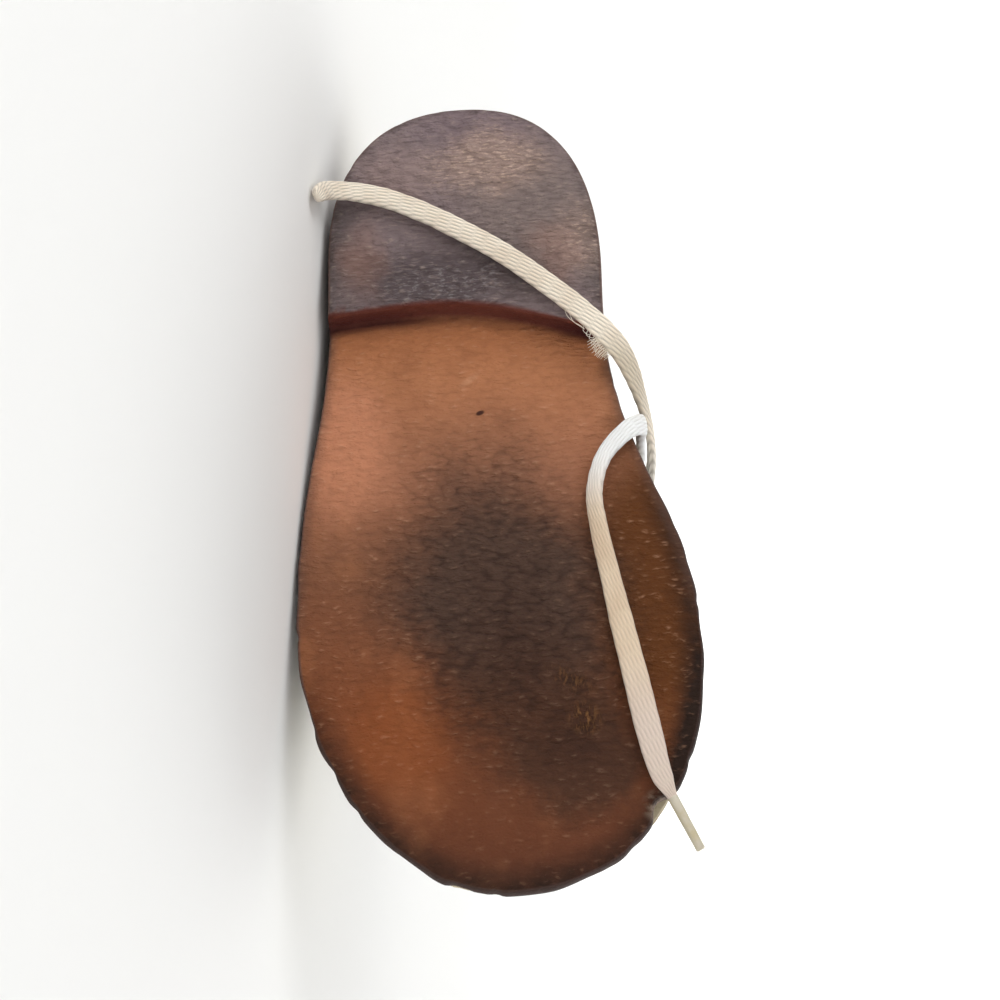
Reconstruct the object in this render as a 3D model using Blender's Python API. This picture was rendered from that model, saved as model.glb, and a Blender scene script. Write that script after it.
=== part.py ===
# A toddler's left saddle shoe that lies on its outer side, sole to the front.
# Sizes and tables are in millimetres, in the shoe's own frame: x from heel to toe,
# y towards the outer side, z up from the ground it would stand on.
import math

import bmesh
import bpy
import numpy as np
from mathutils import Matrix, Vector

MM = 0.001
GAP = 0.3

# Sole sizes
SOLE_LENGTH = 129.0
HEEL_BROAD = 0.22
TOE_BROAD = 0.70
HEEL_ROUND = 2.4
TOE_ROUND = {"lateral": 1.88, "medial": 2.35}
EDGE_ROUND = 1.1
ARCH_HEIGHT = 4.2
ARCH_END = 0.64
SPRING_START = 0.78
TOE_SPRING = 4.0
HEEL_FRONT = 34.6
BREAST_SHARE = 0.004
END_SHARE = 0.014
SOLE_TREAD_ROWS = 24
HEEL_TREAD_ROWS = 12
SOLE_ACROSS = (0.15, 0.45, 0.75, 1.0)
SEAT_CHAMFER = (0.6, 1.0)

# Upper, saddle and tongue sizes
WALL = 1.6
MERIDIANS = 64
RINGS = 12
SADDLE_THICKNESS = 1.2
TONGUE_THICKNESS = 2.0
TONGUE_DEPTH_RINGS = 3
TONGUE_STAND = 10.0
TONGUE_LEAN = (-0.55, 0.0, 0.83)
TONGUE_CROWN = 0.05
WELT_THICKNESS = 2.3
INSOLE_THICKNESS = 2.2
INSOLE_CLEARANCE = 0.4
INSOLE_ROWS = 30

# Lacing sizes
EYELET_RADIUS = 1.5
EYELET_RING = 11
EYELET_MERIDIANS = (21, 19, 17, 15)
LACE_WIDTH = 4.6
LACE_THICKNESS = 1.3
LACE_TUBE = 2.2
LACE_BAR_LIFT = 0.5
LACE_POINT_STEP = 3.5
AGLET_LENGTH = 8.0
AGLET_RADIUS = 0.95
AGLET_SIDES = 12
AGLET_HEADING = (0.91, -0.41, 0.06)

# The point the shoe balances about, which decides how it lies
BALANCE = (61.5, 0.0, 13.0)

# Half-widths of the outsole between the broadest heel and the broadest forefoot
OUTLINE = (
    ("station", "lateral", "medial"),
    (0.22, 23.2, 21.1),
    (0.30, 23.6, 20.8),
    (0.40, 25.2, 22.2),
    (0.50, 27.6, 25.8),
    (0.60, 29.3, 30.4),
    (0.70, 29.8, 32.2),
)

# Height of the outsole's upper face, where welt, upper and insole sit
SEAT = (
    ("station", "height"),
    (0.00, 9.8),
    (0.28, 9.5),
    (0.42, 8.2),
    (0.54, 6.4),
    (0.66, 5.0),
    (0.78, 4.8),
    (0.89, 6.0),
    (1.00, 8.4),
)

# Front edge of the heel: across from the inner side (-1) to the outer side (+1)
BREAST = (
    ("across", "x"),
    (-1.0, 40.4),
    (-0.7, 38.5),
    (-0.35, 36.2),
    (0.1, HEEL_FRONT),
    (0.6, 35.0),
    (1.0, 35.8),
)

# The upper from heel back (0) to toe (1) along the feather edge: how far it stands
# in from the sole's edge, how it rises from there, and how it arrives at the topline
WALLS = (
    ("share", "inset", "rise", "lean", "arrive", "slope"),
    (0.00, 1.8, 13.0, 1.4, 15.0, 80.0),
    (0.20, 1.8, 13.0, 0.2, 13.0, 84.0),
    (0.31, 2.0, 13.0, -0.6, 12.0, 80.0),
    (0.44, 2.4, 17.0, -0.6, 20.0, 48.0),
    (0.56, 2.8, 15.0, 1.2, 19.0, 32.0),
    (0.69, 3.0, 15.0, 2.4, 20.0, 24.0),
    (0.80, 3.0, 16.0, 2.7, 25.0, 23.0),
    (1.00, 3.2, 19.5, 3.6, 29.0, 21.0),
)

# The topline: collar from the heel back to the top of the facing, then facing and throat
COLLAR = (
    ("share", "x", "half", "z", "middle"),
    (0.0, 4.0, 0.0, 50.0, 0.4),
    (0.10, 8.6, 11.8, 49.4, 0.6),
    (0.20, 19.0, 16.2, 46.4, 0.9),
    (0.30, 33.5, 17.6, 43.6, 0.9),
    (0.375, 44.5, 16.0, 47.6, 0.8),
    (0.4375, 53.5, 9.0, 55.5, 0.5),
)
THROAT = (
    ("share", "x", "half", "z", "middle"),
    (0.4375, 53.5, 9.0, 55.5, 0.5),
    (0.5625, 65.5, 6.8, 49.6, -0.2),
    (0.6875, 77.0, 4.8, 43.8, -0.8),
    (0.80, 80.2, 3.2, 42.4, -1.0),
    (1.00, 81.5, 0.0, 41.8, -1.0),
)

# Outer side of the welt's section, from the top edge down
WELT_PROFILE = (
    ("inset", "rise"),
    (1.0, 1.0),
    (0.35, 0.7),
    (0.35, 0.3),
    (0.8, 0.0),
)

# Rear and front edges of the saddle, as shares of the feather edge, up the wall
SADDLE = (
    ("up", "rear", "front"),
    (0.0, 0.335, 0.475),
    (0.3, 0.355, 0.49),
    (0.6, 0.382, 0.565),
    (0.8, 0.398, 0.66),
    (0.9167, 0.40625, 0.71875),
    (1.0, 0.409, 0.728),
)


def curve_through(rows, column, flat_start=False, flat_end=False):
    """Smooth function of a table's first column, through the column of that name."""
    table = np.array(rows[1:])
    xs, ys = table[:, 0], table[:, rows[0].index(column)]
    slopes = np.gradient(ys, xs)
    if flat_start:
        slopes[0] = 0.0
    if flat_end:
        slopes[-1] = 0.0

    def value(x):
        x = np.clip(x, xs[0], xs[-1])
        i = np.clip(np.searchsorted(xs, x) - 1, 0, len(xs) - 2)
        h = xs[i + 1] - xs[i]
        t = (x - xs[i]) / h
        keep = (1 + 2 * t) * (1 - t) ** 2 * ys[i] + t * t * (3 - 2 * t) * ys[i + 1]
        turn = t * (1 - t) ** 2 * slopes[i] - t * t * (1 - t) * slopes[i + 1]
        return keep + h * turn

    return value


half_lateral = curve_through(OUTLINE, "lateral")
half_medial = curve_through(OUTLINE, "medial")
seat_height = curve_through(SEAT, "height")
breast_x = curve_through(BREAST, "x")
saddle_rear = curve_through(SADDLE, "rear")
saddle_front = curve_through(SADDLE, "front")
wall_value = {}
for name in WALLS[0][1:]:
    wall_value[name] = curve_through(WALLS, name, flat_start=True, flat_end=True)
collar_value = {}
throat_value = {}
for name in COLLAR[0][1:]:
    collar_value[name] = curve_through(COLLAR, name, flat_start=name != "half")
    throat_value[name] = curve_through(THROAT, name, flat_end=name != "half")


def half_width(side, station):
    """Half-width of the outsole at a share of its length, rounded off at heel and toe."""
    broad = half_lateral if side == "lateral" else half_medial
    heel = np.clip((HEEL_BROAD - station) / HEEL_BROAD, 0.0, 1.0)
    toe = np.clip((station - TOE_BROAD) / (1.0 - TOE_BROAD), 0.0, 1.0)
    heel_end = (1.0 - heel**HEEL_ROUND) ** (1.0 / HEEL_ROUND)
    toe_end = (1.0 - toe ** TOE_ROUND[side]) ** (1.0 / TOE_ROUND[side])
    return broad(station) * heel_end * toe_end


def rim_walk(side):
    """The sole's edge on one side, heel to toe, with the length walked and the outward normal."""
    station = 0.5 - 0.5 * np.cos(np.linspace(0.0, math.pi, 801))
    sign = 1.0 if side == "lateral" else -1.0
    x, y = SOLE_LENGTH * station, sign * half_width(side, station)
    dx, dy = np.gradient(x), np.gradient(y)
    length = np.hypot(dx, dy)
    walked = np.concatenate([[0.0], np.cumsum(np.hypot(np.diff(x), np.diff(y)))])
    normal_x, normal_y = -sign * dy / length, sign * dx / length
    normal_x[0], normal_y[0] = -1.0, 0.0
    normal_x[-1], normal_y[-1] = 1.0, 0.0
    return walked / walked[-1], x, y, normal_x, normal_y


WALKS = {side: rim_walk(side) for side in ("lateral", "medial")}


def rim(side, share, inset=0.0):
    """Point of the sole's edge at a share of the walk from heel to toe, moved inwards."""
    walked, x, y, normal_x, normal_y = WALKS[side]
    nx, ny = np.interp(share, walked, normal_x), np.interp(share, walked, normal_y)
    size = math.hypot(nx, ny)
    px = np.interp(share, walked, x) - inset * nx / size
    py = np.interp(share, walked, y) - inset * ny / size
    return np.array([px, py, 0.0])


def rim_normal(side, share):
    """Outward direction of the sole's edge."""
    return rim(side, share, -1.0) - rim(side, share)


def share_at(side, x, inset=0.0):
    """Share of the walk at which the edge, moved inwards, passes a given x."""
    low, high = 0.02, 0.98
    for _ in range(40):
        middle = 0.5 * (low + high)
        if rim(side, middle, inset)[0] < x:
            low = middle
        else:
            high = middle
    return low


def seat(x):
    """Height of the outsole's upper face."""
    return float(seat_height(x / SOLE_LENGTH))


def tread(x):
    """Height of the outsole's under face in front of the heel: arch, flat ball, toe spring."""
    station = x / SOLE_LENGTH
    start = HEEL_FRONT / SOLE_LENGTH
    if station < ARCH_END:
        fall = (ARCH_END - station) / (ARCH_END - start)
        fall = min(max(fall, 0.0), 1.0)
        return ARCH_HEIGHT * fall * fall * (2.0 - fall) ** 1.2
    if station > SPRING_START:
        return TOE_SPRING * ((station - SPRING_START) / (1.0 - SPRING_START)) ** 2
    return 0.0


def topline(side, share):
    """Point of the upper's top edge."""
    values = collar_value if share <= THROAT[1][0] else throat_value
    sign = 1.0 if side == "lateral" else -1.0
    y = float(values["middle"](share)) + sign * float(values["half"](share))
    return np.array([float(values["x"](share)), y, float(values["z"](share))])


def meridian(side, share, up):
    """Point on the upper's outside: share along the feather edge, up from 0 to 1 at the topline."""
    wall = {name: float(value(share)) for name, value in wall_value.items()}
    foot = rim(side, share, wall["inset"])
    foot[2] = seat(foot[0]) + GAP
    top = topline(side, share)
    inward = (top - foot) * (1.0, 1.0, 0.0)
    inward = inward / np.linalg.norm(inward)
    slope = math.radians(wall["slope"])
    rising = foot + rim_normal(side, share) * wall["lean"] + np.array([0.0, 0.0, wall["rise"]])
    arriving = top - wall["arrive"] * (inward * math.cos(slope) + np.array([0.0, 0.0, math.sin(slope)]))
    down = 1.0 - up
    return down**3 * foot + 3 * down * down * up * rising + 3 * down * up * up * arriving + up**3 * top


def side_and_share(index):
    """Side and share of a meridian, counted round the shoe from the heel back over the outer side."""
    half = MERIDIANS / 2
    index = index % MERIDIANS
    if index <= half:
        return "lateral", index / half
    return "medial", (MERIDIANS - index) / half


def skin(index, up, offset=0.0):
    """Point at a distance outwards from the upper's outside; index and up may be fractions."""
    step = 0.25
    here = meridian(*side_and_share(index), up)
    if offset == 0.0:
        return here
    ahead = meridian(*side_and_share(index + step), min(max(up, 0.02), 0.98))
    behind = meridian(*side_and_share(index - step), min(max(up, 0.02), 0.98))
    above = meridian(*side_and_share(index), min(up + 0.02, 1.0))
    below = meridian(*side_and_share(index), max(up - 0.02, 0.0))
    normal = np.cross(above - below, ahead - behind)
    return here + offset * normal / np.linalg.norm(normal)


def up_at_height(index, height):
    """How far up the wall the outside has risen by a small height."""
    foot = skin(index, 0.0)[2]
    low, high = 0.0, 0.4
    for _ in range(30):
        middle = 0.5 * (low + high)
        if skin(index, middle)[2] - foot < height:
            low = middle
        else:
            high = middle
    return low


def ladder(size):
    """Cap of a loop whose second half runs back along the first: rungs between the two."""
    return [(k, k + 1, size - 2 - k, size - 1 - k) for k in range(size // 2 - 1)]


def loft(loops, closed=False, cap=None):
    """Points and faces of a solid through loops of equal length, joined in a ring or capped."""
    count, size = len(loops), len(loops[0])
    points = [point for loop in loops for point in loop]
    faces = []
    for i in range(count if closed else count - 1):
        a, b = i * size, ((i + 1) % count) * size
        for k in range(size):
            m = (k + 1) % size
            faces.append([a + k, a + m, b + m, b + k])
    if not closed:
        for a in (0, (count - 1) * size):
            faces += [[a + k for k in face] for face in cap or [range(size)]]
    return points, faces


def punch(points, faces, centre, neighbours, radius):
    """Cut an eight-sided mouth in place of a grid point; its neighbours are given in order round it."""
    origin = points[centre]
    arms = [points[n] - origin for n in neighbours]
    arms = [arm / np.linalg.norm(arm) for arm in arms]
    edge = {}
    corner = {}
    mouth = []
    for i, neighbour in enumerate(neighbours):
        edge[neighbour] = len(points)
        mouth.append(len(points))
        points.append(origin + radius * arms[i])
        diagonal = arms[i] + arms[(i + 1) % 4]
        corner[frozenset((neighbour, neighbours[(i + 1) % 4]))] = len(points)
        mouth.append(len(points))
        points.append(origin + radius * diagonal / np.linalg.norm(diagonal))
    for face in faces:
        if centre in face:
            i = face.index(centre)
            before, after = face[i - 1], face[(i + 1) % len(face)]
            face[i : i + 1] = [edge[before], corner[frozenset((before, after))], edge[after]]
    return mouth


def eyelet(points, faces, at, column, ring):
    """Cut one eyelet through a wall whose loops run up the outside and down the inside."""
    mouths = []
    for inside in (False, True):
        place = [(column + 1, ring), (column, ring + 1), (column - 1, ring), (column, ring - 1)]
        around = [at(c, r, inside) for c, r in place]
        mouths.append(punch(points, faces, at(column, ring, inside), around, EYELET_RADIUS))
    outer, inner = mouths
    for i in range(8):
        faces.append([outer[i], outer[(i + 1) % 8], inner[(i + 1) % 8], inner[i]])


def material(name, colour, roughness):
    """Plain Principled material."""
    made = bpy.data.materials.new(name)
    made.use_nodes = True
    shader = made.node_tree.nodes["Principled BSDF"]
    shader.inputs["Base Color"].default_value = (*colour, 1.0)
    shader.inputs["Roughness"].default_value = roughness
    shader.inputs["Metallic"].default_value = 0.0
    return made


def add_solid(name, points, faces, made_of):
    """Mesh object from points in millimetres, unused points left out and normals outwards."""
    used = sorted({index for face in faces for index in face})
    renumber = {index: i for i, index in enumerate(used)}
    mesh = bpy.data.meshes.new(name)
    vertices = [tuple(float(c) * MM for c in points[index]) for index in used]
    mesh.from_pydata(vertices, [], [[renumber[i] for i in face] for face in faces])
    shape = bmesh.new()
    shape.from_mesh(mesh)
    bmesh.ops.recalc_face_normals(shape, faces=shape.faces[:])
    shape.to_mesh(mesh)
    shape.free()
    mesh.materials.append(made_of)
    node = bpy.data.objects.new(name, mesh)
    bpy.context.collection.objects.link(node)
    return node


for old in list(bpy.data.objects):
    bpy.data.objects.remove(old, do_unlink=True)

gum_rubber = material("gum_rubber", (0.33, 0.15, 0.08), 0.6)
welt_leather = material("welt_leather", (0.47, 0.41, 0.29), 0.7)
insole_board = material("insole_board", (0.50, 0.40, 0.28), 0.85)
white_leather = material("white_leather", (0.72, 0.69, 0.62), 0.45)
navy_leather = material("navy_leather", (0.012, 0.016, 0.026), 0.4)
cotton_lace = material("cotton_lace", (0.76, 0.70, 0.60), 0.9)
clear_plastic = material("clear_plastic", (0.50, 0.45, 0.34), 0.3)


# Outsole: crosswise sections from heel to toe, with the step of the heel breast between two of them
def sole_section(shares, bow, on_heel):
    """One closed section: under face from the middle out, up the side walls, flat on top."""
    edges = {side: rim(side, share, EDGE_ROUND) for side, share in shares.items()}
    halves = []
    for side, sign in (("lateral", 1.0), ("medial", -1.0)):
        half = []
        for b in SOLE_ACROSS:
            point = edges["medial"] + (edges["lateral"] - edges["medial"]) * (0.5 + 0.5 * sign * b)
            level = breast_x(-1.0) + (breast_x(1.0) - breast_x(-1.0)) * (0.5 + 0.5 * sign * b)
            point[0] += bow * (breast_x(sign * b) - level)
            point[2] = 0.0 if on_heel else tread(point[0])
            half.append(point)
        for inset, rise in ((0.33 * EDGE_ROUND, 0.33 * EDGE_ROUND), (0.0, EDGE_ROUND)):
            point = rim(side, shares[side], inset)
            point[2] = rise + (0.0 if on_heel else tread(point[0]))
            half.append(point)
        for inset, drop in ((0.0, SEAT_CHAMFER[1]), (SEAT_CHAMFER[0], 0.0)):
            point = rim(side, shares[side], inset)
            point[2] = seat(point[0]) - drop
            half.append(point)
        halves.append(half)
    return halves[0] + halves[1][::-1]


breast_shares = {
    "lateral": share_at("lateral", float(breast_x(1.0)), EDGE_ROUND),
    "medial": share_at("medial", float(breast_x(-1.0)), EDGE_ROUND),
}
sole_loops = []
for i in range(HEEL_TREAD_ROWS + 1):
    part = i / HEEL_TREAD_ROWS
    shares = {}
    for side, breast in breast_shares.items():
        shares[side] = END_SHARE + (breast - END_SHARE) * part
    sole_loops.append(sole_section(shares, part * part, True))
for i in range(SOLE_TREAD_ROWS + 1):
    part = i / SOLE_TREAD_ROWS
    shares = {}
    for side, breast in breast_shares.items():
        start = breast + BREAST_SHARE
        shares[side] = start + (1.0 - END_SHARE - start) * part
    sole_loops.append(sole_section(shares, (1.0 - part) ** 4, False))
sole_cap = [(0, 1, 2, 3, 4, 11, 12, 13, 14, 15), (4, 5, 10, 11), (5, 6, 9, 10), (6, 7, 8, 9)]
add_solid("outsole", *loft(sole_loops, cap=sole_cap), gum_rubber)

# Welt: a ring on the outsole's edge, its inner side against the upper
welt_loops = []
for index in range(MERIDIANS):
    side, share = side_and_share(index)
    low = skin(index, 0.0, GAP)
    high = skin(index, up_at_height(index, WELT_THICKNESS), GAP)
    loop = [low, high]
    for inset, rise in WELT_PROFILE[1:]:
        point = rim(side, share, inset)
        point[2] = seat(point[0]) + GAP + rise * WELT_THICKNESS
        loop.append(point)
    low[2] = seat(low[0]) + GAP
    welt_loops.append(loop)
add_solid("welt", *loft(welt_loops, closed=True), welt_leather)

# Insole: a board inside the upper's lower edge
insole_loops = []
for i in range(INSOLE_ROWS + 1):
    share = END_SHARE + (1.0 - 2.0 * END_SHARE) * i / INSOLE_ROWS
    inset = float(wall_value["inset"](share)) + WALL + INSOLE_CLEARANCE
    loop = []
    for side, raised in (("lateral", 0.0), ("lateral", 1.0), ("medial", 1.0), ("medial", 0.0)):
        point = rim(side, share, inset)
        point[2] = seat(point[0]) + GAP + raised * INSOLE_THICKNESS
        loop.append(point)
    insole_loops.append(loop)
add_solid("insole", *loft(insole_loops), insole_board)

# Upper: meridians from the feather edge to the topline, up the outside and down the inside
upper_loops = []
for index in range(MERIDIANS):
    outside = [skin(index, k / RINGS) for k in range(RINGS + 1)]
    inside = [skin(index, k / RINGS, -WALL) for k in range(RINGS + 1)]
    inside[0][2] = outside[0][2]
    upper_loops.append(outside + inside[::-1])
points, faces = loft(upper_loops, closed=True)


def upper_at(column, ring, inside):
    """Number of an upper grid point."""
    size = 2 * (RINGS + 1)
    return column * size + (size - 1 - ring if inside else ring)


for column in EYELET_MERIDIANS:
    eyelet(points, faces, upper_at, column, EYELET_RING)
    eyelet(points, faces, upper_at, MERIDIANS - column, EYELET_RING)
add_solid("upper", points, faces, white_leather)

# Saddles: overlays just off the upper, from welt to topline, holding the eyelets
SADDLE_COLUMN_COUNT = 10
SADDLE_EYELETS = (2, 4, 6, 8)
SADDLE_RINGS = (0,) + tuple(range(2, RINGS + 1))


def saddle_place(sign, column, ring):
    """Meridian and height of a saddle grid point; column 0 is the rear edge."""
    up = SADDLE_RINGS[ring] / RINGS
    share = saddle_rear(up) + (saddle_front(up) - saddle_rear(up)) * column / SADDLE_COLUMN_COUNT
    index = float(share) * MERIDIANS / 2
    index = index if sign > 0 else MERIDIANS - index
    if ring == 0:
        up = up_at_height(index, WELT_THICKNESS + 2.0 * GAP)
    return index, up


def saddle_at(column, ring, inside):
    """Number of a saddle grid point."""
    size = 2 * len(SADDLE_RINGS)
    return column * size + (size - 1 - ring if inside else ring)


for name, sign in (("saddle_lateral", 1.0), ("saddle_medial", -1.0)):
    loops = []
    for column in range(SADDLE_COLUMN_COUNT + 1):
        places = [saddle_place(sign, column, ring) for ring in range(len(SADDLE_RINGS))]
        outside = [skin(index, up, GAP + SADDLE_THICKNESS) for index, up in places]
        inside = [skin(index, up, GAP) for index, up in places]
        loops.append(outside + inside[::-1])
    points, faces = loft(loops, cap=ladder(len(loops[0])))
    for column in SADDLE_EYELETS:
        eyelet(points, faces, saddle_at, column, SADDLE_RINGS.index(EYELET_RING))
    add_solid(name, points, faces, navy_leather)

# Tongue: under both facings and across the throat, standing out between them at the top
TONGUE_REACH = {16: 0.8, 15: 0.45, 14: 0.12}
TONGUE_TOP = (
    ("stand", "half", "droop"),
    (0.3, 6.8, 1.0),
    (0.65, 10.6, 2.2),
    (0.9, 10.4, 2.2),
    (1.0, 8.0, 1.5),
)
tongue_rows = []
for index in range(24, 13, -1):
    reach = TONGUE_REACH.get(index, 1.0) / RINGS
    ups = [1.0 - depth * reach for depth in range(TONGUE_DEPTH_RINGS + 1)]
    outer = [skin(index, up, -WALL - GAP) for up in reversed(ups)]
    inner = [skin(MERIDIANS - index, up, -WALL - GAP) for up in ups]
    span = inner[0] - outer[-1]
    lift = np.array([0.0, 0.0, TONGUE_CROWN * np.linalg.norm(span)])
    tongue_rows.append(outer + [outer[-1] + span * 0.33 + lift, outer[-1] + span * 0.67 + lift] + inner)
neck = tongue_rows[-1]
middle = 0.5 * (neck[4] + neck[5])
for stand, half, droop in TONGUE_TOP[1:]:
    top = middle + stand * TONGUE_STAND * np.array(TONGUE_LEAN)
    across = np.linspace(1.0, -1.0, len(neck))
    tongue_rows.append([top + np.array([0.0, half * b, -droop * b * b]) for b in across])
grid = np.array(tongue_rows)
run = np.gradient(grid, axis=0)
breadth = np.gradient(grid, axis=1)
normal = np.cross(run, breadth)
normal = normal / np.linalg.norm(normal, axis=2, keepdims=True)
if normal[:, :, 2].mean() < 0.0:
    normal = -normal
under = grid - TONGUE_THICKNESS * normal
tongue_loops = [list(top) + list(low)[::-1] for top, low in zip(grid, under)]
add_solid("tongue", *loft(tongue_loops, cap=ladder(len(tongue_loops[0]))), white_leather)

# Lace bars: the lace where it bridges the throat, from eyelet to eyelet over the facings
for number, column in enumerate(EYELET_MERIDIANS[:3], start=1):
    height = GAP + SADDLE_THICKNESS + GAP
    route = [(column, EYELET_RING / RINGS), (column, 0.96), (column, 1.0)]
    route += [(MERIDIANS - i, up) for i, up in route[::-1]]
    loops = []
    for i, (index, up) in enumerate(route):
        low = skin(index, up, height)
        high = skin(index, up, height + LACE_THICKNESS)
        beside = 0.5 if index < MERIDIANS / 2 else -0.5
        width = skin(index + beside, up, height) - skin(index - beside, up, height)
        width = 0.5 * LACE_WIDTH * width / np.linalg.norm(width)
        loops.append([high - 0.8 * width, high + 0.8 * width, low + width, low - width])
        if i == 2:
            other = skin(MERIDIANS - column, 1.0, height)
            rise = other - low
            for part in (0.33, 0.67):
                lifted = rise * part + np.array([0.0, 0.0, LACE_BAR_LIFT])
                loops.append([point + lifted for point in loops[2]])
    add_solid("lace_bar_%d" % number, *loft(loops), cotton_lace)

# Lace ends: free cords from the two top eyelets, over the inner side and onto the sole
body = [node for node in bpy.data.objects if node.type == "MESH"]
HEEL_ROUTE = (
    (58.9, -13.2, 52.4),
    (61.4, -18.4, 46.6),
    (62.4, -23.6, 36.6),
    (60.6, -26.4, 28.4),
    (57.4, -27.7, 21.2),
    (54.4, -27.6, 15.6),
    (52.0, -26.8, 10.9),
    (49.9, -25.8, 6.7),
    (47.6, -24.7, 3.6),
    (44.9, -23.0, 0.6),
    (41.6, -20.2, -1.1),
    (38.4, -17.2, -1.5),
    (32.6, -11.1, -1.5),
    (27.5, -5.1, -1.5),
    (23.2, 1.2, -1.5),
    (19.4, 7.5, -1.5),
    (16.4, 14.0, -1.5),
    (15.6, 18.6, -2.4),
    (16.4, 21.9, -4.8),
    (18.2, 23.0, -8.0),
    (20.2, 23.6, -10.6),
)
TOE_ROUTE = (
    (58.4, 14.0, 52.4),
    (57.4, 11.2, 56.5),
    (56.2, 4.0, 58.8),
    (55.3, -4.0, 58.9),
    (54.9, -11.0, 56.6),
    (55.2, -18.3, 46.6),
    (56.9, -22.4, 37.0),
    (58.2, -24.5, 27.6),
    (58.2, -25.3, 18.0),
    (57.6, -25.6, 11.6),
    (56.9, -25.4, 6.5),
    (56.9, -25.4, 2.2),
    (58.5, -23.2, -0.6),
    (62.6, -19.1, -0.8),
    (68.5, -17.1, -1.1),
    (74.9, -17.4, -1.4),
    (82.1, -18.5, -1.5),
    (90.1, -19.8, -1.5),
    (98.8, -21.3, -1.5),
    (107.3, -22.7, -1.4),
    (114.0, -24.2, -0.8),
    (117.0, -25.5, -0.3),
)


def lace_end(name, route, made_of):
    """Round cord through a route, sampled from a smooth curve along its length."""
    route = np.array(route)
    steps = np.linalg.norm(np.diff(route, axis=0), axis=1)
    walked = np.concatenate([[0.0], np.cumsum(steps)])
    rows = [("walked", "x", "y", "z")] + np.column_stack([walked, route]).tolist()
    along = np.linspace(0.0, walked[-1], int(walked[-1] / LACE_POINT_STEP))
    spots = np.column_stack([curve_through(rows, axis)(along) for axis in "xyz"]) * MM
    cord = bpy.data.curves.new(name, "CURVE")
    cord.dimensions = "3D"
    cord.bevel_depth = 0.5 * LACE_TUBE * MM
    cord.bevel_resolution = 2
    cord.use_fill_caps = True
    spline = cord.splines.new("POLY")
    spline.points.add(len(spots) - 1)
    for point, spot in zip(spline.points, spots):
        point.co = (*spot, 1.0)
    cord.materials.append(made_of)
    bpy.context.collection.objects.link(bpy.data.objects.new(name, cord))


lace_end("lace_end_heel", HEEL_ROUTE, cotton_lace)
lace_end("lace_end_toe", TOE_ROUTE, cotton_lace)

# Aglet: the plastic tip on the toe end, in line with the lace
tip = np.array(TOE_ROUTE[-1])
heading = np.array(AGLET_HEADING) / np.linalg.norm(AGLET_HEADING)
sideways = np.cross(heading, [0.0, 0.0, 1.0])
sideways = sideways / np.linalg.norm(sideways)
upwards = np.cross(sideways, heading)
aglet_loops = []
for start in (GAP, GAP + AGLET_LENGTH):
    centre = tip + heading * start
    angles = [2.0 * math.pi * i / AGLET_SIDES for i in range(AGLET_SIDES)]
    ring = [centre + AGLET_RADIUS * (sideways * math.cos(a) + upwards * math.sin(a)) for a in angles]
    aglet_loops.append(ring)
add_solid("lace_aglet", *loft(aglet_loops), clear_plastic)

# Pose: the shoe lies on the face of its hull that takes its balance point, outer side down
hull = bmesh.new()
for node in body:
    for vertex in node.data.vertices:
        hull.verts.new(vertex.co)
bmesh.ops.convex_hull(hull, input=hull.verts[:])
balance = Vector(BALANCE) * MM
down = None
for face in hull.faces:
    corners = [vertex.co for vertex in face.verts]
    foot = balance + face.normal * face.normal.dot(corners[0] - balance)
    sides = [(corners[i] - corners[i - 1]).cross(foot - corners[i - 1]) for i in range(3)]
    if min(side.dot(face.normal) for side in sides) >= 0.0:
        if down is None or face.normal.y > down.y:
            down = face.normal.copy()
hull.free()
axis_z = -down
axis_x = Vector((1.0, 0.0, 0.0))
axis_x = (axis_x - axis_z * axis_x.dot(axis_z)).normalized()
axis_y = axis_z.cross(axis_x)
turn = Matrix((axis_x, axis_y, axis_z)).to_4x4()
placed = [turn @ vertex.co for node in body for vertex in node.data.vertices]
low = Vector([min(p[i] for p in placed) for i in range(3)])
high = Vector([max(p[i] for p in placed) for i in range(3)])
shift = Vector((-0.5 * (low.x + high.x), -0.5 * (low.y + high.y), -low.z))
shoe = bpy.data.objects.new("saddle_shoe", None)
bpy.context.collection.objects.link(shoe)
shoe.matrix_world = Matrix.Translation(shift) @ turn
for node in list(bpy.data.objects):
    if node is not shoe:
        node.parent = shoe
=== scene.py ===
import math

import bpy
import numpy as np
from mathutils import Matrix, Vector, noise
from mathutils.bvhtree import BVHTree


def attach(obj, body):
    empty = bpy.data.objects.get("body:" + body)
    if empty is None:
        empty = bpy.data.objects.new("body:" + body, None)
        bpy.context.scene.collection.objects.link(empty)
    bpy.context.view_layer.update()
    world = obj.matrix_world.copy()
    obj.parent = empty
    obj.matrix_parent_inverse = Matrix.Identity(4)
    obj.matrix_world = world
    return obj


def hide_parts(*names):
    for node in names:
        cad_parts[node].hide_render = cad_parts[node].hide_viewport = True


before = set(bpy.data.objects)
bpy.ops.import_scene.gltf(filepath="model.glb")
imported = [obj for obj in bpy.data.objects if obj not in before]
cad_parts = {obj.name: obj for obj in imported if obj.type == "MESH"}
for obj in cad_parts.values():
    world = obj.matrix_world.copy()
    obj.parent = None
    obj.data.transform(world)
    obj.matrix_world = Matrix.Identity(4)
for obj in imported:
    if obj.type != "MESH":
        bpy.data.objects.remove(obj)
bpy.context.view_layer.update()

# Upper: white leather vamp, quarters and heel counter, cut, sewn and pulled over the last.
# It is one hollow shell, lined with thin tan leather. Its lower edge is sewn down by the welt,
# and walking has folded the vamp behind the toes. TURN and SHIFT lay the shoe's own axes down in the frame.
TURN = Matrix(((0.994338, 0.10557, 0.012086), (0.0, -0.11374, 0.993511), (0.10626, -0.987886, -0.113096)))
SHIFT = Vector((-0.064134, -0.029867, 0.021286))
LAST_MIDDLE_HEIGHT = 20.0
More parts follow.
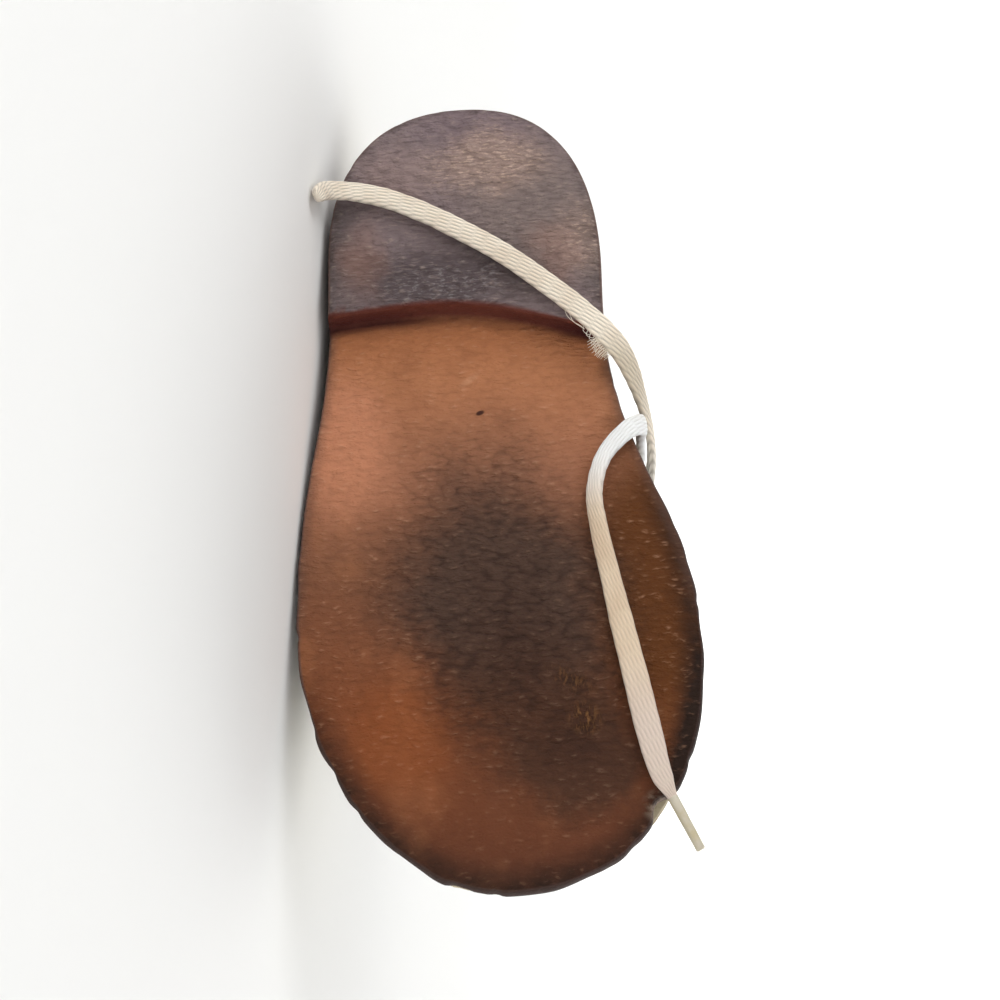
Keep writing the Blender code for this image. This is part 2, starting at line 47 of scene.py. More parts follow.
LAST_MIDDLE_ENDS = (26.0, 96.0)
VAMP_CREASES = (
    (0.75, 2.0, (
        (86.0, -22.5, 28.5), (88.5, -14.0, 35.5), (90.0, -2.0, 38.6), (88.0, 11.0, 36.5), (84.5, 20.5, 29.5),
    )),
    (0.60, 1.7, (
        (91.5, -25.0, 22.0), (94.0, -15.0, 32.6), (96.0, -3.0, 36.2), (95.0, 10.0, 33.8), (92.0, 21.0, 26.0),
    )),
    (0.45, 1.5, ((98.5, -20.0, 24.5), (101.0, -9.0, 32.8), (102.0, 3.0, 34.0), (100.5, 14.0, 29.5))),
    (0.40, 1.4, ((27.0, -21.0, 22.0), (31.0, -20.5, 27.0), (36.0, -20.0, 31.0), (41.0, -20.0, 33.5))),
    (0.40, 1.4, ((26.0, 22.5, 21.0), (30.0, 22.5, 26.0), (35.0, 22.3, 30.5), (40.0, 22.4, 33.0))),
)


def to_frame(points):
    """Millimetres on the shoe to the frame's metres."""
    return np.asarray(points, float) @ np.array(TURN).T * 0.001 + np.array(SHIFT)


def to_shoe(points):
    """The frame's metres to millimetres on the shoe."""
    return (np.asarray(points, float) - np.array(SHIFT)) @ np.array(TURN) * 1000.0


def copy_of(node, name):
    """A CAD node's mesh as a new piece, its loose triangles merged and paired into quads."""
    bpy.ops.object.select_all(action="DESELECT")
    piece = bpy.data.objects.new(name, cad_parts[node].data.copy())
    piece.data.materials.clear()
    bpy.context.scene.collection.objects.link(piece)
    piece.select_set(True)
    bpy.context.view_layer.objects.active = piece
    bpy.ops.mesh.customdata_custom_splitnormals_clear()
    bpy.ops.object.mode_set(mode="EDIT")
    bpy.ops.mesh.select_all(action="SELECT")
    bpy.ops.mesh.remove_doubles(threshold=0.00001)
    bpy.ops.mesh.tris_convert_to_quads(face_threshold=1.2, shape_threshold=1.2)
    bpy.ops.object.mode_set(mode="OBJECT")
    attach(piece, "root")
    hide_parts(node)
    return piece


def round_off(piece, levels, sharp=None, crease=0.0):
    """Subdivide a piece smoothly; edges sharper than an angle keep a crease."""
    bpy.context.view_layer.objects.active = piece
    if sharp:
        bpy.ops.object.mode_set(mode="EDIT")
        bpy.ops.mesh.select_mode(type="EDGE")
        bpy.ops.mesh.select_all(action="DESELECT")
        bpy.ops.mesh.edges_select_sharp(sharpness=math.radians(sharp))
        bpy.ops.transform.edge_crease(value=crease)
        bpy.ops.object.mode_set(mode="OBJECT")
    rounded = piece.modifiers.new("rounded", "SUBSURF")
    rounded.levels = levels
    rounded.render_levels = levels
    bpy.ops.object.modifier_apply(modifier="rounded")
    bpy.ops.object.shade_smooth()


def points_of(piece):
    """A piece's points in millimetres on the shoe."""
    flat = np.empty(3 * len(piece.data.vertices))
    piece.data.vertices.foreach_get("co", flat)
    return to_shoe(flat.reshape(-1, 3))


def normals_of(piece):
    """A piece's point normals in the shoe's own directions."""
    flat = np.empty(3 * len(piece.data.vertices))
    piece.data.vertex_normals.foreach_get("vector", flat)
    return flat.reshape(-1, 3) @ np.array(TURN)


def set_points(piece, points):
    """Move a piece's points to places given in millimetres on the shoe; none sinks into the floor."""
    placed = to_frame(points)
    placed[:, 2] = np.maximum(placed[:, 2], 0.0)
    piece.data.vertices.foreach_set("co", placed.ravel())
    piece.data.update()


def away_from_last(points):
    """Directions away from the middle line that runs through the last from heel to toe."""
    away = points - np.array([0.0, 0.0, LAST_MIDDLE_HEIGHT])
    away[:, 0] = points[:, 0] - np.clip(points[:, 0], *LAST_MIDDLE_ENDS)
    return away / np.linalg.norm(away, axis=1)[:, None]


def smooth_line(points, step):
    """Points about a step apart on a smooth curve through the given ones."""
    points = np.asarray(points, float)
    walked = np.concatenate([[0.0], np.cumsum(np.linalg.norm(np.diff(points, axis=0), axis=1))])
    slopes = np.gradient(points, walked, axis=0)
    at = np.linspace(0.0, walked[-1], max(2, int(round(walked[-1] / step)) + 1))
    i = np.clip(np.searchsorted(walked, at) - 1, 0, len(walked) - 2)
    span = (walked[i + 1] - walked[i])[:, None]
    t = (at - walked[i])[:, None] / span
    keep = (1 + 2 * t) * (1 - t) ** 2 * points[i] + t * t * (3 - 2 * t) * points[i + 1]
    return keep + span * (t * (1 - t) ** 2 * slopes[i] - t * t * (1 - t) * slopes[i + 1])


def lumps(points, size, seed=0.0):
    """Smooth unevenness from about -1 to 1 at each point; size in millimetres, also per axis."""
    scaled = points / np.asarray(size, float) + seed
    return np.array([noise.noise(Vector(spot)) for spot in scaled])


class Wire:
    """A socket in a finish's node tree. Sums of wires add Math nodes; add() makes any other node."""

    def __init__(self, tree, socket=None):
        self.tree = tree
        self.socket = socket

    def add(self, kind, settings=None, inputs=None, output=0):
        """A new node: first its settings, then the values or wires of its sockets."""
        node = self.tree.nodes.new("ShaderNode" + kind)
        for name, value in (settings or {}).items():
            if name == "stops":
                for stop in value[2:]:
                    node.color_ramp.elements.new(stop[0])
                for element, stop in zip(node.color_ramp.elements, value):
                    element.position = stop[0]
                    element.color = stop[1]
            else:
                setattr(node, name, value)
        for socket, value in (inputs or {}).items():
            self.feed(node.inputs[socket], value)
        return Wire(self.tree, node.outputs[output])

    def feed(self, socket, value):
        """Link a wire to a socket, or set the socket's own value."""
        if isinstance(value, Wire):
            self.tree.links.new(value.socket, socket)
        else:
            socket.default_value = value

    def maths(self, operation, first, second):
        return self.add("Math", {"operation": operation}, {0: first, 1: second})

    def __add__(self, other):
        return self.maths("ADD", self, other)

    __radd__ = __add__

    def __sub__(self, other):
        return self.maths("SUBTRACT", self, other)

    def __rsub__(self, other):
        return self.maths("SUBTRACT", other, self)

    def __mul__(self, other):
        return self.maths("MULTIPLY", self, other)

    __rmul__ = __mul__

    def soft(self, low, high):
        """0 below low, 1 above high, eased between them; low above high turns it round."""
        ends = {"Value": self, "From Min": low, "From Max": high}
        return self.add("MapRange", {"interpolation_type": "SMOOTHSTEP"}, ends)

    def stretched(self, size):
        """This place divided by a size in millimetres for each axis."""
        return self.add("Mapping", None, {"Vector": self, "Scale": [1.0 / s for s in size]})

    def cloud(self, size, detail=3.0, rough=0.55):
        """Noise of about 0 to 1 round 0.5 over this place; size in millimetres for each axis."""
        inputs = {"Vector": self.stretched(size), "Scale": 1.0, "Detail": detail, "Roughness": rough}
        return self.add("TexNoise", None, inputs)

    def spot(self, centre, radii, turn=0.0, core=0.3):
        """1 in the middle of an ellipse on the sole's plane, falling to 0 at its edge."""
        away = self.add("VectorMath", {"operation": "SUBTRACT"}, {0: self, 1: (*centre, 0.0)})
        away = self.add("Mapping", None, {"Vector": away, "Rotation": (0.0, 0.0, math.radians(turn))})
        away = self.add("Mapping", None, {"Vector": away, "Scale": (1.0 / radii[0], 1.0 / radii[1], 0.0)})
        return self.add("VectorMath", {"operation": "LENGTH"}, {0: away}, "Value").soft(1.0, core)

    def over(self, under, share=1.0):
        """This colour laid over another by a share."""
        return self.add("Mix", {"data_type": "RGBA"}, {0: share, 6: under, 7: self}, 2)


def srgb(*levels):
    """A colour given as it looks, 0 to 255, for a shader."""
    return tuple(((v / 255 + 0.055) / 1.055) ** 2.4 if v > 10 else v / 3294.6 for v in levels) + (1.0,)


def paint(wire, under, levels, share):
    """A colour, given as it looks, laid over another by a share."""
    return wire.add("Mix", {"data_type": "RGBA"}, {0: share, 6: under, 7: srgb(*levels)}, 2)


def new_finish(name, **constants):
    """A material, its shader with the constant values set, and the place on the shoe in millimetres."""
    made = bpy.data.materials.new(name)
    made.use_nodes = True
    shader = made.node_tree.nodes["Principled BSDF"]
    for socket, value in constants.items():
        shader.inputs[socket.replace("_", " ").title()].default_value = value
    place = Wire(made.node_tree).add("TexCoord", output=3)
    back = TURN.transposed()
    fitted = {"Vector": place, "Location": back @ SHIFT * -1000.0, "Rotation": back.to_euler()}
    return made, shader, place.add("Mapping", None, {**fitted, "Scale": (1000.0, 1000.0, 1000.0)})


def white_leather_finish():
    """Smooth white leather: yellowed, scuffed at toe and heel, dirty along the welt."""
    made, shader, place = new_finish("white_leather", coat_weight=0.12, coat_roughness=0.35)
    parts = place.add("SeparateXYZ", None, {"Vector": place})
    height = Wire(place.tree, parts.socket.node.outputs["Z"])
    along = Wire(place.tree, parts.socket.node.outputs["X"])
    patches = place.cloud((16.0, 16.0, 16.0))
    colour = paint(place, srgb(222, 217, 205), (210, 202, 184), patches.soft(0.42, 0.68))
    dirt = height.soft(19.0, 9.0) * place.cloud((5.0, 5.0, 3.0)).soft(0.35, 0.7)
    colour = paint(place, colour, (160, 146, 122), dirt * 0.5)
    worn_end = along.soft(108.0, 122.0) + along.soft(10.0, 2.0)
    scuff = place.cloud((7.0, 1.6, 0.9), 4.0, 0.65).soft(0.58, 0.7) * (worn_end * 0.8 + 0.12)
    colour = paint(place, colour, (128, 117, 103), scuff * 0.7)
    folded = along.soft(82.0, 88.0) * along.soft(106.0, 98.0)
    fold = place.cloud((1.3, 5.0, 5.0), 3.0).soft(0.6, 0.72) * folded
    colour = paint(place, colour, (172, 158, 132), fold * 0.55)
    cells = place.stretched((0.75, 0.75, 0.75))
    cells = place.add("TexVoronoi", {"feature": "DISTANCE_TO_EDGE"}, {"Vector": cells, "Scale": 1.0})
    grain = cells.soft(0.0, 0.25) * 0.7 + place.cloud((0.25, 0.25, 0.25)) * 0.5 + patches * 0.6
    place.feed(shader.inputs["Base Color"], colour)
    place.feed(shader.inputs["Roughness"], 0.38 + scuff * 0.3 + dirt * 0.2 + patches * 0.12)
    relief = {"Strength": 0.35, "Distance": 0.00012, "Height": grain}
    place.feed(shader.inputs["Normal"], place.add("Bump", None, relief))
    return made


def lining_finish():
    """Thin tan lining leather, matt and rubbed darker by the foot."""
    made, shader, place = new_finish("lining_leather")
    patches = place.cloud((9.0, 9.0, 9.0))
    colour = paint(place, srgb(203, 182, 148), (182, 159, 125), patches.soft(0.38, 0.72))
    place.feed(shader.inputs["Base Color"], colour)
    place.feed(shader.inputs["Roughness"], 0.7 + patches * 0.2)
    relief = {"Strength": 0.3, "Distance": 0.0001, "Height": place.cloud((0.4, 0.4, 0.4), 4.0)}
    place.feed(shader.inputs["Normal"], place.add("Bump", None, relief))
    return made


white_leather = white_leather_finish()
lining_leather = lining_finish()


def line_inside(piece):
    """Give the faces that look towards the inside of the last the lining leather."""
    piece.data.materials.append(white_leather)
    piece.data.materials.append(lining_leather)
    for face in piece.data.polygons:
        outwards = away_from_last(to_shoe([face.center]))[0]
        face.material_index = 0 if outwards @ (np.array(face.normal) @ np.array(TURN)) > 0.0 else 1


upper = copy_of("upper", "upper_leather")
round_off(upper, 2)
points, normals = points_of(upper), normals_of(upper)
facing = np.where((away_from_last(points) * normals).sum(1) > 0.0, 1.0, -1.0)
sink = 0.12 * lumps(points, 9.0)
for depth, width, crease in VAMP_CREASES:
    line = smooth_line(crease, 1.0)
    gap = np.linalg.norm(points[:, None, :] - line[None, :, :], axis=2)
    away = gap.min(1) / width
    along = gap.argmin(1) / (len(line) - 1.0)
    fade = np.sin(np.pi * np.clip(along * 0.9 + 0.05, 0.0, 1.0)) ** 0.6
    sink -= depth * fade * (1.0 - 0.55 * away**2) * np.exp(-0.5 * away**2)
set_points(upper, points + normals * (facing * sink)[:, None])
line_inside(upper)

# Saddle: two dark navy leather overlays, one on each side, sewn over the quarters.
# They run from the welt to the throat, carry the four pairs of punched eyelets, and are
# held by two rows of thread along their front and rear edges.
# The points of a seam are read off the edges of the solids, in millimetres on the shoe.
SADDLE_SEAMS = {
    "lateral_rear": (
        (40.6, 23.0, 14.2), (43.1, 23.0, 22.3), (45.5, 23.1, 28.7), (47.7, 22.2, 35.8),
        (49.2, 19.4, 43.9), (49.8, 16.4, 49.4),
    ),
    "lateral_front": (
        (61.7, 26.0, 12.2), (62.8, 25.7, 19.9), (66.5, 24.8, 27.4), (71.9, 21.8, 34.4),
        (79.3, 15.7, 39.2), (82.0, 11.0, 41.0), (82.0, 7.0, 42.4),
    ),
    "medial_rear": (
        (43.2, -20.3, 14.0), (45.7, -20.2, 22.2), (47.9, -20.3, 28.5), (49.7, -19.8, 35.6),
        (50.5, -17.5, 43.8), (50.3, -15.0, 49.4),
    ),
    "medial_front": (
        (64.5, -24.6, 12.0), (65.5, -24.5, 19.6), (68.7, -24.3, 27.2), (73.2, -22.3, 34.3),
        (79.9, -16.8, 39.2), (82.3, -12.6, 40.9), (82.2, -8.7, 42.4),
    ),
}
SEAM_INSETS = (1.3, 2.6)
FACING_SEAMS = {
    "lateral": (
        (55.0, 11.6, 54.9), (57.5, 10.9, 54.0), (63.8, 9.2, 51.4), (70.1, 7.7, 48.4), (76.2, 6.4, 45.5),
        (79.4, 5.2, 44.0),
    ),
    "medial": (
        (54.9, -10.7, 54.9), (57.4, -10.2, 54.0), (63.8, -9.2, 51.4), (70.2, -8.5, 48.4),
        (76.3, -7.7, 45.5), (79.4, -6.8, 44.0),
    ),
}


def navy_leather_finish():
    """Smooth navy-black leather with a fine grain, rubbed grey in streaky patches."""
    made, shader, place = new_finish("navy_leather", coat_weight=0.2, coat_roughness=0.3)
    patches = place.cloud((8.0, 8.0, 8.0))
    colour = paint(place, srgb(13, 21, 36), (26, 33, 47), patches.soft(0.4, 0.7))
    rub = place.cloud((4.0, 2.0, 1.2), 4.0, 0.65).soft(0.6, 0.74)
    colour = paint(place, colour, (62, 64, 72), rub * 0.55)
    cells = place.stretched((0.7, 0.7, 0.7))
    cells = place.add("TexVoronoi", {"feature": "DISTANCE_TO_EDGE"}, {"Vector": cells, "Scale": 1.0})
    grain = cells.soft(0.0, 0.25) + place.cloud((0.3, 0.3, 0.3)) * 0.5
    place.feed(shader.inputs["Base Color"], colour)
    place.feed(shader.inputs["Roughness"], 0.34 + rub * 0.3 + patches * 0.12)
    relief = {"Strength": 0.35, "Distance": 0.0001, "Height": grain}
    place.feed(shader.inputs["Normal"], place.add("Bump", None, relief))
    return made


def thread_finish(name, light, dark):
    """Waxed sewing thread with a twisted strand."""
    made, shader, place = new_finish(name, roughness=0.6)
    strand = place.cloud((0.5, 0.5, 0.5))
    colour = paint(place, srgb(*light), dark, strand.soft(0.35, 0.65))
    place.feed(shader.inputs["Base Color"], colour)
    return made


def surface_of(piece):
    """The faces of a piece as a tree that finds the nearest place on them."""
    corners = [vertex.co.copy() for vertex in piece.data.vertices]
    return BVHTree.FromPolygons(corners, [list(face.vertices) for face in piece.data.polygons])


def sewn_row(name, lines, tree, pitch, length, thick, finish, lift=0.2):
    """Stitches along lines on a surface: one small stitch, shaped once and copied along."""
    bpy.ops.object.select_all(action="DESELECT")
    bpy.ops.mesh.primitive_uv_sphere_add(segments=8, ring_count=6, radius=1.0)
    row = bpy.context.object
    row.name = name
    bpy.ops.object.shade_smooth()
    stitch = np.array([vertex.co for vertex in row.data.vertices])
    stitch[:, 0] = np.sign(stitch[:, 0]) * np.abs(stitch[:, 0]) ** 0.7
    stitch *= np.array([0.5 * length, 0.5 * thick, 0.42 * thick]) * 0.001
    rounds = [list(face.vertices) for face in row.data.polygons]
    corners, faces = [], []
    for line in lines:
        spots = to_frame(smooth_line(line, pitch))
        heading = np.gradient(spots, axis=0)
        for spot, ahead in zip(spots, heading):
            place, normal, _, _ = tree.find_nearest(Vector(spot))
            ahead = Vector(ahead) - normal * normal.dot(Vector(ahead))
            ahead.normalize()
            aside = normal.cross(ahead)
            turned = np.array((ahead, aside, normal))
            first = len(corners)
            centre = np.array(place + normal * (lift * thick * 0.001))
            corners += [(x, y, max(z, 0.0)) for x, y, z in stitch @ turned + centre]
            faces += [[first + i for i in face] for face in rounds]
    mesh = bpy.data.meshes.new(name)
    mesh.from_pydata(corners, [], faces)
    mesh.polygons.foreach_set("use_smooth", [True] * len(faces))
    mesh.materials.append(finish)
    row.data = mesh
    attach(row, "root")


navy_leather = navy_leather_finish()
navy_thread = thread_finish("navy_thread", (52, 58, 74), (30, 35, 48))
for side in ("lateral", "medial"):
    saddle = copy_of("saddle_" + side, "saddle_leather_" + side)
    round_off(saddle, 2, 50.0, 0.45)
    points, normals = points_of(saddle), normals_of(saddle)
    set_points(saddle, points + normals * (0.05 * lumps(points, 7.0))[:, None])
    saddle.data.materials.append(navy_leather)
    rows = []
    for edge, inwards in (("rear", 1.0), ("front", -1.0)):
        seam = np.array(SADDLE_SEAMS[side + "_" + edge])
        rise = np.gradient(seam, axis=0)
        rise /= np.linalg.norm(rise, axis=1)[:, None]
        across = np.cross(rise, away_from_last(seam))
        across *= np.sign(across[:, :1])
        for inset in SEAM_INSETS:
            rows.append(seam + across * inset * inwards)
    rows.append(FACING_SEAMS[side])
    sewn_row("saddle_thread_" + side, rows, surface_of(saddle), 2.0, 1.6, 0.5, navy_thread)

# Quarter seams: one row of white thread below the collar's edge, which keeps the lining in place,
# and two down the back, where the quarters meet.
QUARTER_SEAMS = (
    (
        (3.7, 0.4, 48.5), (4.3, 4.4, 48.4), (7.9, 11.9, 48.0), (13.8, 15.8, 46.4), (21.5, 17.8, 44.4),
        (30.7, 18.7, 42.3), (40.0, 18.5, 43.9), (47.0, 16.4, 47.8),
    ),
    (
        (4.3, -3.6, 48.4), (8.0, -10.8, 48.0), (13.9, -14.2, 46.4), (21.5, -15.9, 44.4),
        (30.8, -16.8, 42.3), (40.3, -16.7, 43.9), (47.3, -14.6, 47.8),
    ),
    (
        (1.5, 1.3, 14.0), (1.2, 1.3, 21.0), (1.3, 1.3, 26.0), (1.6, 1.4, 31.0), (2.1, 1.5, 36.0),
        (2.6, 1.6, 41.0), (3.3, 1.7, 46.0),
    ),
    (
        (1.5, -1.3, 14.0), (1.2, -1.3, 21.0), (1.3, -1.3, 26.0), (1.6, -1.2, 31.0), (2.1, -1.1, 36.0),
        (2.6, -1.0, 41.0), (3.3, -0.9, 46.0),
    ),
)
white_thread = thread_finish("white_thread", (222, 216, 202), (190, 180, 160))
sewn_row("quarter_thread", QUARTER_SEAMS, surface_of(upper), 1.9, 1.5, 0.45, white_thread)

# Tongue: one piece of the same white leather, lined like the upper.
# It lies under both facings, its front end is sewn under the vamp, and its rounded top stands out
# above the lacing.
SEWN_UNDER_VAMP = (6.5, 0.0, -3.2)
TONGUE_FRONT = 74.8
TONGUE_HALF_WIDTH = 8.0
tongue = copy_of("tongue", "tongue_leather")
round_off(tongue, 2)
points, normals = points_of(tongue), normals_of(tongue)
ahead = np.clip((points[:, 0] - TONGUE_FRONT) / 3.4, 0.0, 1.0) ** 2
ahead *= np.clip((TONGUE_HALF_WIDTH - np.abs(points[:, 1] + 1.0)) / 3.5, 0.0, 1.0)
points += ahead[:, None] * np.array(SEWN_UNDER_VAMP)
set_points(tongue, points + normals * (0.12 * lumps(points, 8.0, 3.0))[:, None])
line_inside(tongue)

# Insole: a board of pressed leather inside the upper's lower edge, with a thin sock glued over it.
# The foot has printed darker patches at the heel and the ball.
insole = copy_of("insole", "insole_board")
round_off(insole, 2, 50.0, 0.6)


def insole_finish():
    """Tan sock leather, darkened where the heel and the ball of the foot press."""
    made, shader, place = new_finish("insole_board")
    fibres = place.cloud((3.0, 0.6, 3.0), 4.0)
    pressed = place.spot((20.0, 0.0), (17.0, 16.0)) + place.spot((86.0, -2.0), (24.0, 24.0))
    colour = paint(place, srgb(196, 172, 136), (164, 138, 104), fibres.soft(0.35, 0.7))
    colour = paint(place, colour, (112, 90, 66), pressed * 0.7)
    place.feed(shader.inputs["Base Color"], colour)
    place.feed(shader.inputs["Roughness"], 0.8 - pressed * 0.2)
    relief = {"Strength": 0.3, "Distance": 0.0001, "Height": fibres}
    place.feed(shader.inputs["Normal"], place.add("Bump", None, relief))
    return made


insole.data.materials.append(insole_finish())

# Welt: a strip of tan leather round the whole edge, sewn through to the upper and the outsole.
# A wheel has pressed notches across its top, and the thick lockstitch lies in them.
WELT_PITCH = 2.6
WELT_UNDERCUT = 0.6
WELT_SEAM_OUTER = (
    (1.4, 0.0, 12.4), (2.9, 9.2, 12.4), (8.3, 16.5, 12.3), (16.6, 20.5, 12.2), (26.0, 21.8, 12.2),
    (35.9, 22.0, 12.1), (45.9, 23.0, 11.5), (55.7, 24.5, 10.3), (65.4, 26.3, 9.0), (75.2, 27.7, 8.0),
    (85.0, 28.3, 7.5), (94.7, 28.2, 7.3), (104.2, 26.4, 7.7), (113.1, 22.6, 8.5), (120.7, 16.8, 9.7),
    (125.6, 9.1, 10.6), (127.6, 0.0, 10.9),
)
WELT_SEAM_INNER = (
    (127.6, 0.0, 10.9), (125.8, -9.1, 10.6), (121.0, -17.4, 9.8), (113.6, -24.2, 8.6), (104.6, -28.6, 7.7),
    (94.8, -30.6, 7.3), (85.0, -30.4, 7.5), (75.4, -28.2, 8.0), (66.0, -24.8, 8.9), (56.4, -21.6, 10.2),
    (46.4, -19.6, 11.4), (36.2, -19.0, 12.1), (26.2, -19.5, 12.2), (16.8, -18.6, 12.2), (8.5, -15.2, 12.3),
    (2.9, -8.6, 12.4), (1.4, 0.0, 12.4),
)


def welt_finish():
    """Tan welt leather, notched across, flecked darker by its fibres."""
    made, shader, place = new_finish("welt_leather")
    patches = place.cloud((6.0, 6.0, 3.0))
    colour = paint(place, srgb(190, 178, 150), (158, 140, 108), patches.soft(0.38, 0.68))
    fibres = place.cloud((0.5, 0.5, 1.6), 4.0)
    colour = paint(place, colour, (112, 94, 70), fibres.soft(0.55, 0.75) * 0.6)
    place.feed(shader.inputs["Base Color"], colour)
    place.feed(shader.inputs["Roughness"], 0.62 + patches * 0.25)
    relief = {"Strength": 0.5, "Distance": 0.00015, "Height": fibres}
    place.feed(shader.inputs["Normal"], place.add("Bump", None, relief))
    return made


welt = copy_of("welt", "welt_strip")
round_off(welt, 3, 40.0, 0.5)
points, normals = points_of(welt), normals_of(welt)
rings = (WELT_SEAM_OUTER, WELT_SEAM_INNER)
walks, turns = [], []
for ring in rings:
    stops = smooth_line(ring, WELT_PITCH)
    walks.append(smooth_line(stops, WELT_PITCH / 8))
    turns.append(np.linspace(0.0, len(stops) - 1.0, len(walks[-1])))
walk, turns = np.concatenate(walks), np.concatenate(turns)
nearest = np.linalg.norm(points[:, None, :] - walk[None, :, :], axis=2).argmin(1)
notch = np.cos(np.pi * turns[nearest]) ** 8 * np.clip(normals[:, 2], 0.0, 1.0)
points += normals * (0.05 * lumps(points, 3.0, 7.0) - 0.12 * notch)[:, None]
from_middle = np.column_stack([points[:, 0] - np.clip(points[:, 0], 26.0, 100.0), points[:, 1]])
outer_side = np.clip((from_middle * normals[:, :2]).sum(1) / np.linalg.norm(from_middle, axis=1), 0.0, 1.0)
points[:, :2] -= WELT_UNDERCUT * outer_side[:, None] * normals[:, :2]
set_points(welt, points)
welt.data.materials.append(welt_finish())
welt_thread = thread_finish("welt_thread", (214, 202, 172), (168, 150, 116))
sewn_row("welt_stitches", rings, surface_of(welt), WELT_PITCH, 2.2, 0.85, welt_thread, 0.1)

# Outsole: one moulded gum-rubber unit with the heel in one piece, cemented and sewn under the welt.
# Wear has wrinkled it crosswise, greyed the heel, stained the ball nearly black and rounded
# and nicked the edge, while the waist has kept its clean amber.
HEEL_STEP = 0.9
TORN_EDGE = (118.2, -24.2)
TORN_INWARDS = (-1.2, 1.4)
HEEL_EDGE = ((40.4, 38.5, 36.2, 34.6, 35.0, 35.8), (-21.2, -14.8, -7.4, 2.4, 14.3, 23.8))
GUM_ALONG_SOLE = (
    (0.00, srgb(120, 98, 94)), (0.30, srgb(166, 106, 70)), (0.36, srgb(175, 116, 81)),
    (0.50, srgb(163, 109, 82)), (0.61, srgb(128, 84, 61)), (0.80, srgb(127, 72, 43)),
    (1.00, srgb(88, 52, 37)),
)
# Spots that make up the stain under the ball: strength, middle and radii.
STAIN_SPOTS = (
    (0.9, (81.0, -1.0), (24.0, 29.0)),
    (0.47, (62.0, 0.0), (17.0, 25.0)),
    (0.55, (88.0, -3.0), (23.0, 29.0)),
    (1.0, (104.0, -7.0), (22.0, 23.0)),
    (0.8, (111.0, -14.0), (13.0, 15.0)),
)
# Patches of the worn heel: colour, strength, middle, radii and the share of the radius at full colour.
HEEL_PATCHES = (
    ((127, 112, 108), 0.9, (20.0, -10.0), (20.0, 16.0), 0.3),
    ((126, 109, 113), 0.8, (3.0, -2.0), (8.0, 16.0), 0.3),
    ((146, 125, 122), 0.8, (12.0, 12.0), (8.0, 9.0), 0.3),
    ((142, 112, 102), 0.7, (28.0, -13.0), (8.0, 6.0), 0.3),
    ((90, 79, 81), 0.95, (31.0, 6.0), (10.0, 24.0), 0.2),
    ((92, 82, 82), 0.9, (24.0, 24.0), (20.0, 8.0), 0.3),
    ((90, 81, 79), 0.95, (25.0, -22.5), (20.0, 8.0), 0.3),
    ((138, 104, 92), 0.6, (27.0, 17.0), (10.0, 5.5), 0.1),
)


def ball_stain(wandering, mottle):
    """How dark walking has stained the rubber under the ball and the toes."""
    stain = 0.0
    for share, centre, radii in STAIN_SPOTS:
        stain = stain + wandering.spot(centre, radii, 0.0, 0.1) * share
    return stain * (0.75 + mottle * 0.5)


def worn_heel(place, wandering, ripple, mottle, fringe):
    """The colour of the greyed and scraped heel, and where its surface is worked rough."""
    colour = srgb(131, 115, 116)
    for levels, share, centre, radii, core in HEEL_PATCHES:
        colour = paint(place, colour, levels, wandering.spot(centre, radii, 0.0, core) * share)
    flecks = place.cloud((0.45, 1.4, 2.0), 4.0, 0.65).soft(0.5, 0.66)
    bright = wandering.spot((10.5, -3.5), (8.0, 13.0)) + wandering.spot((25.0, -17.5), (9.0, 6.0)) * 0.6
    worked = bright + wandering.spot((31.5, 2.5), (5.5, 15.0))
    front = wandering.spot((32.0, 3.5), (4.5, 13.0))
    colour = paint(place, colour, (168, 142, 131), bright * 0.75)
    colour = paint(place, colour, (208, 180, 162), flecks * bright * 0.85)
    colour = paint(place, colour, (160, 152, 152), flecks * front * 0.55)
    streaks = ripple.cloud((0.35, 2.4, 2.0), 3.0, 0.6)
    colour = paint(place, colour, (158, 139, 132), streaks.soft(0.54, 0.68) * 0.35)
    colour = paint(place, colour, (74, 63, 63), streaks.soft(0.46, 0.32) * 0.4)
    colour = paint(place, colour, (72, 60, 60), fringe * mottle.soft(0.42, 0.62) * 0.65)
    return paint(place, colour, (172, 156, 148), fringe * flecks * 0.25), worked


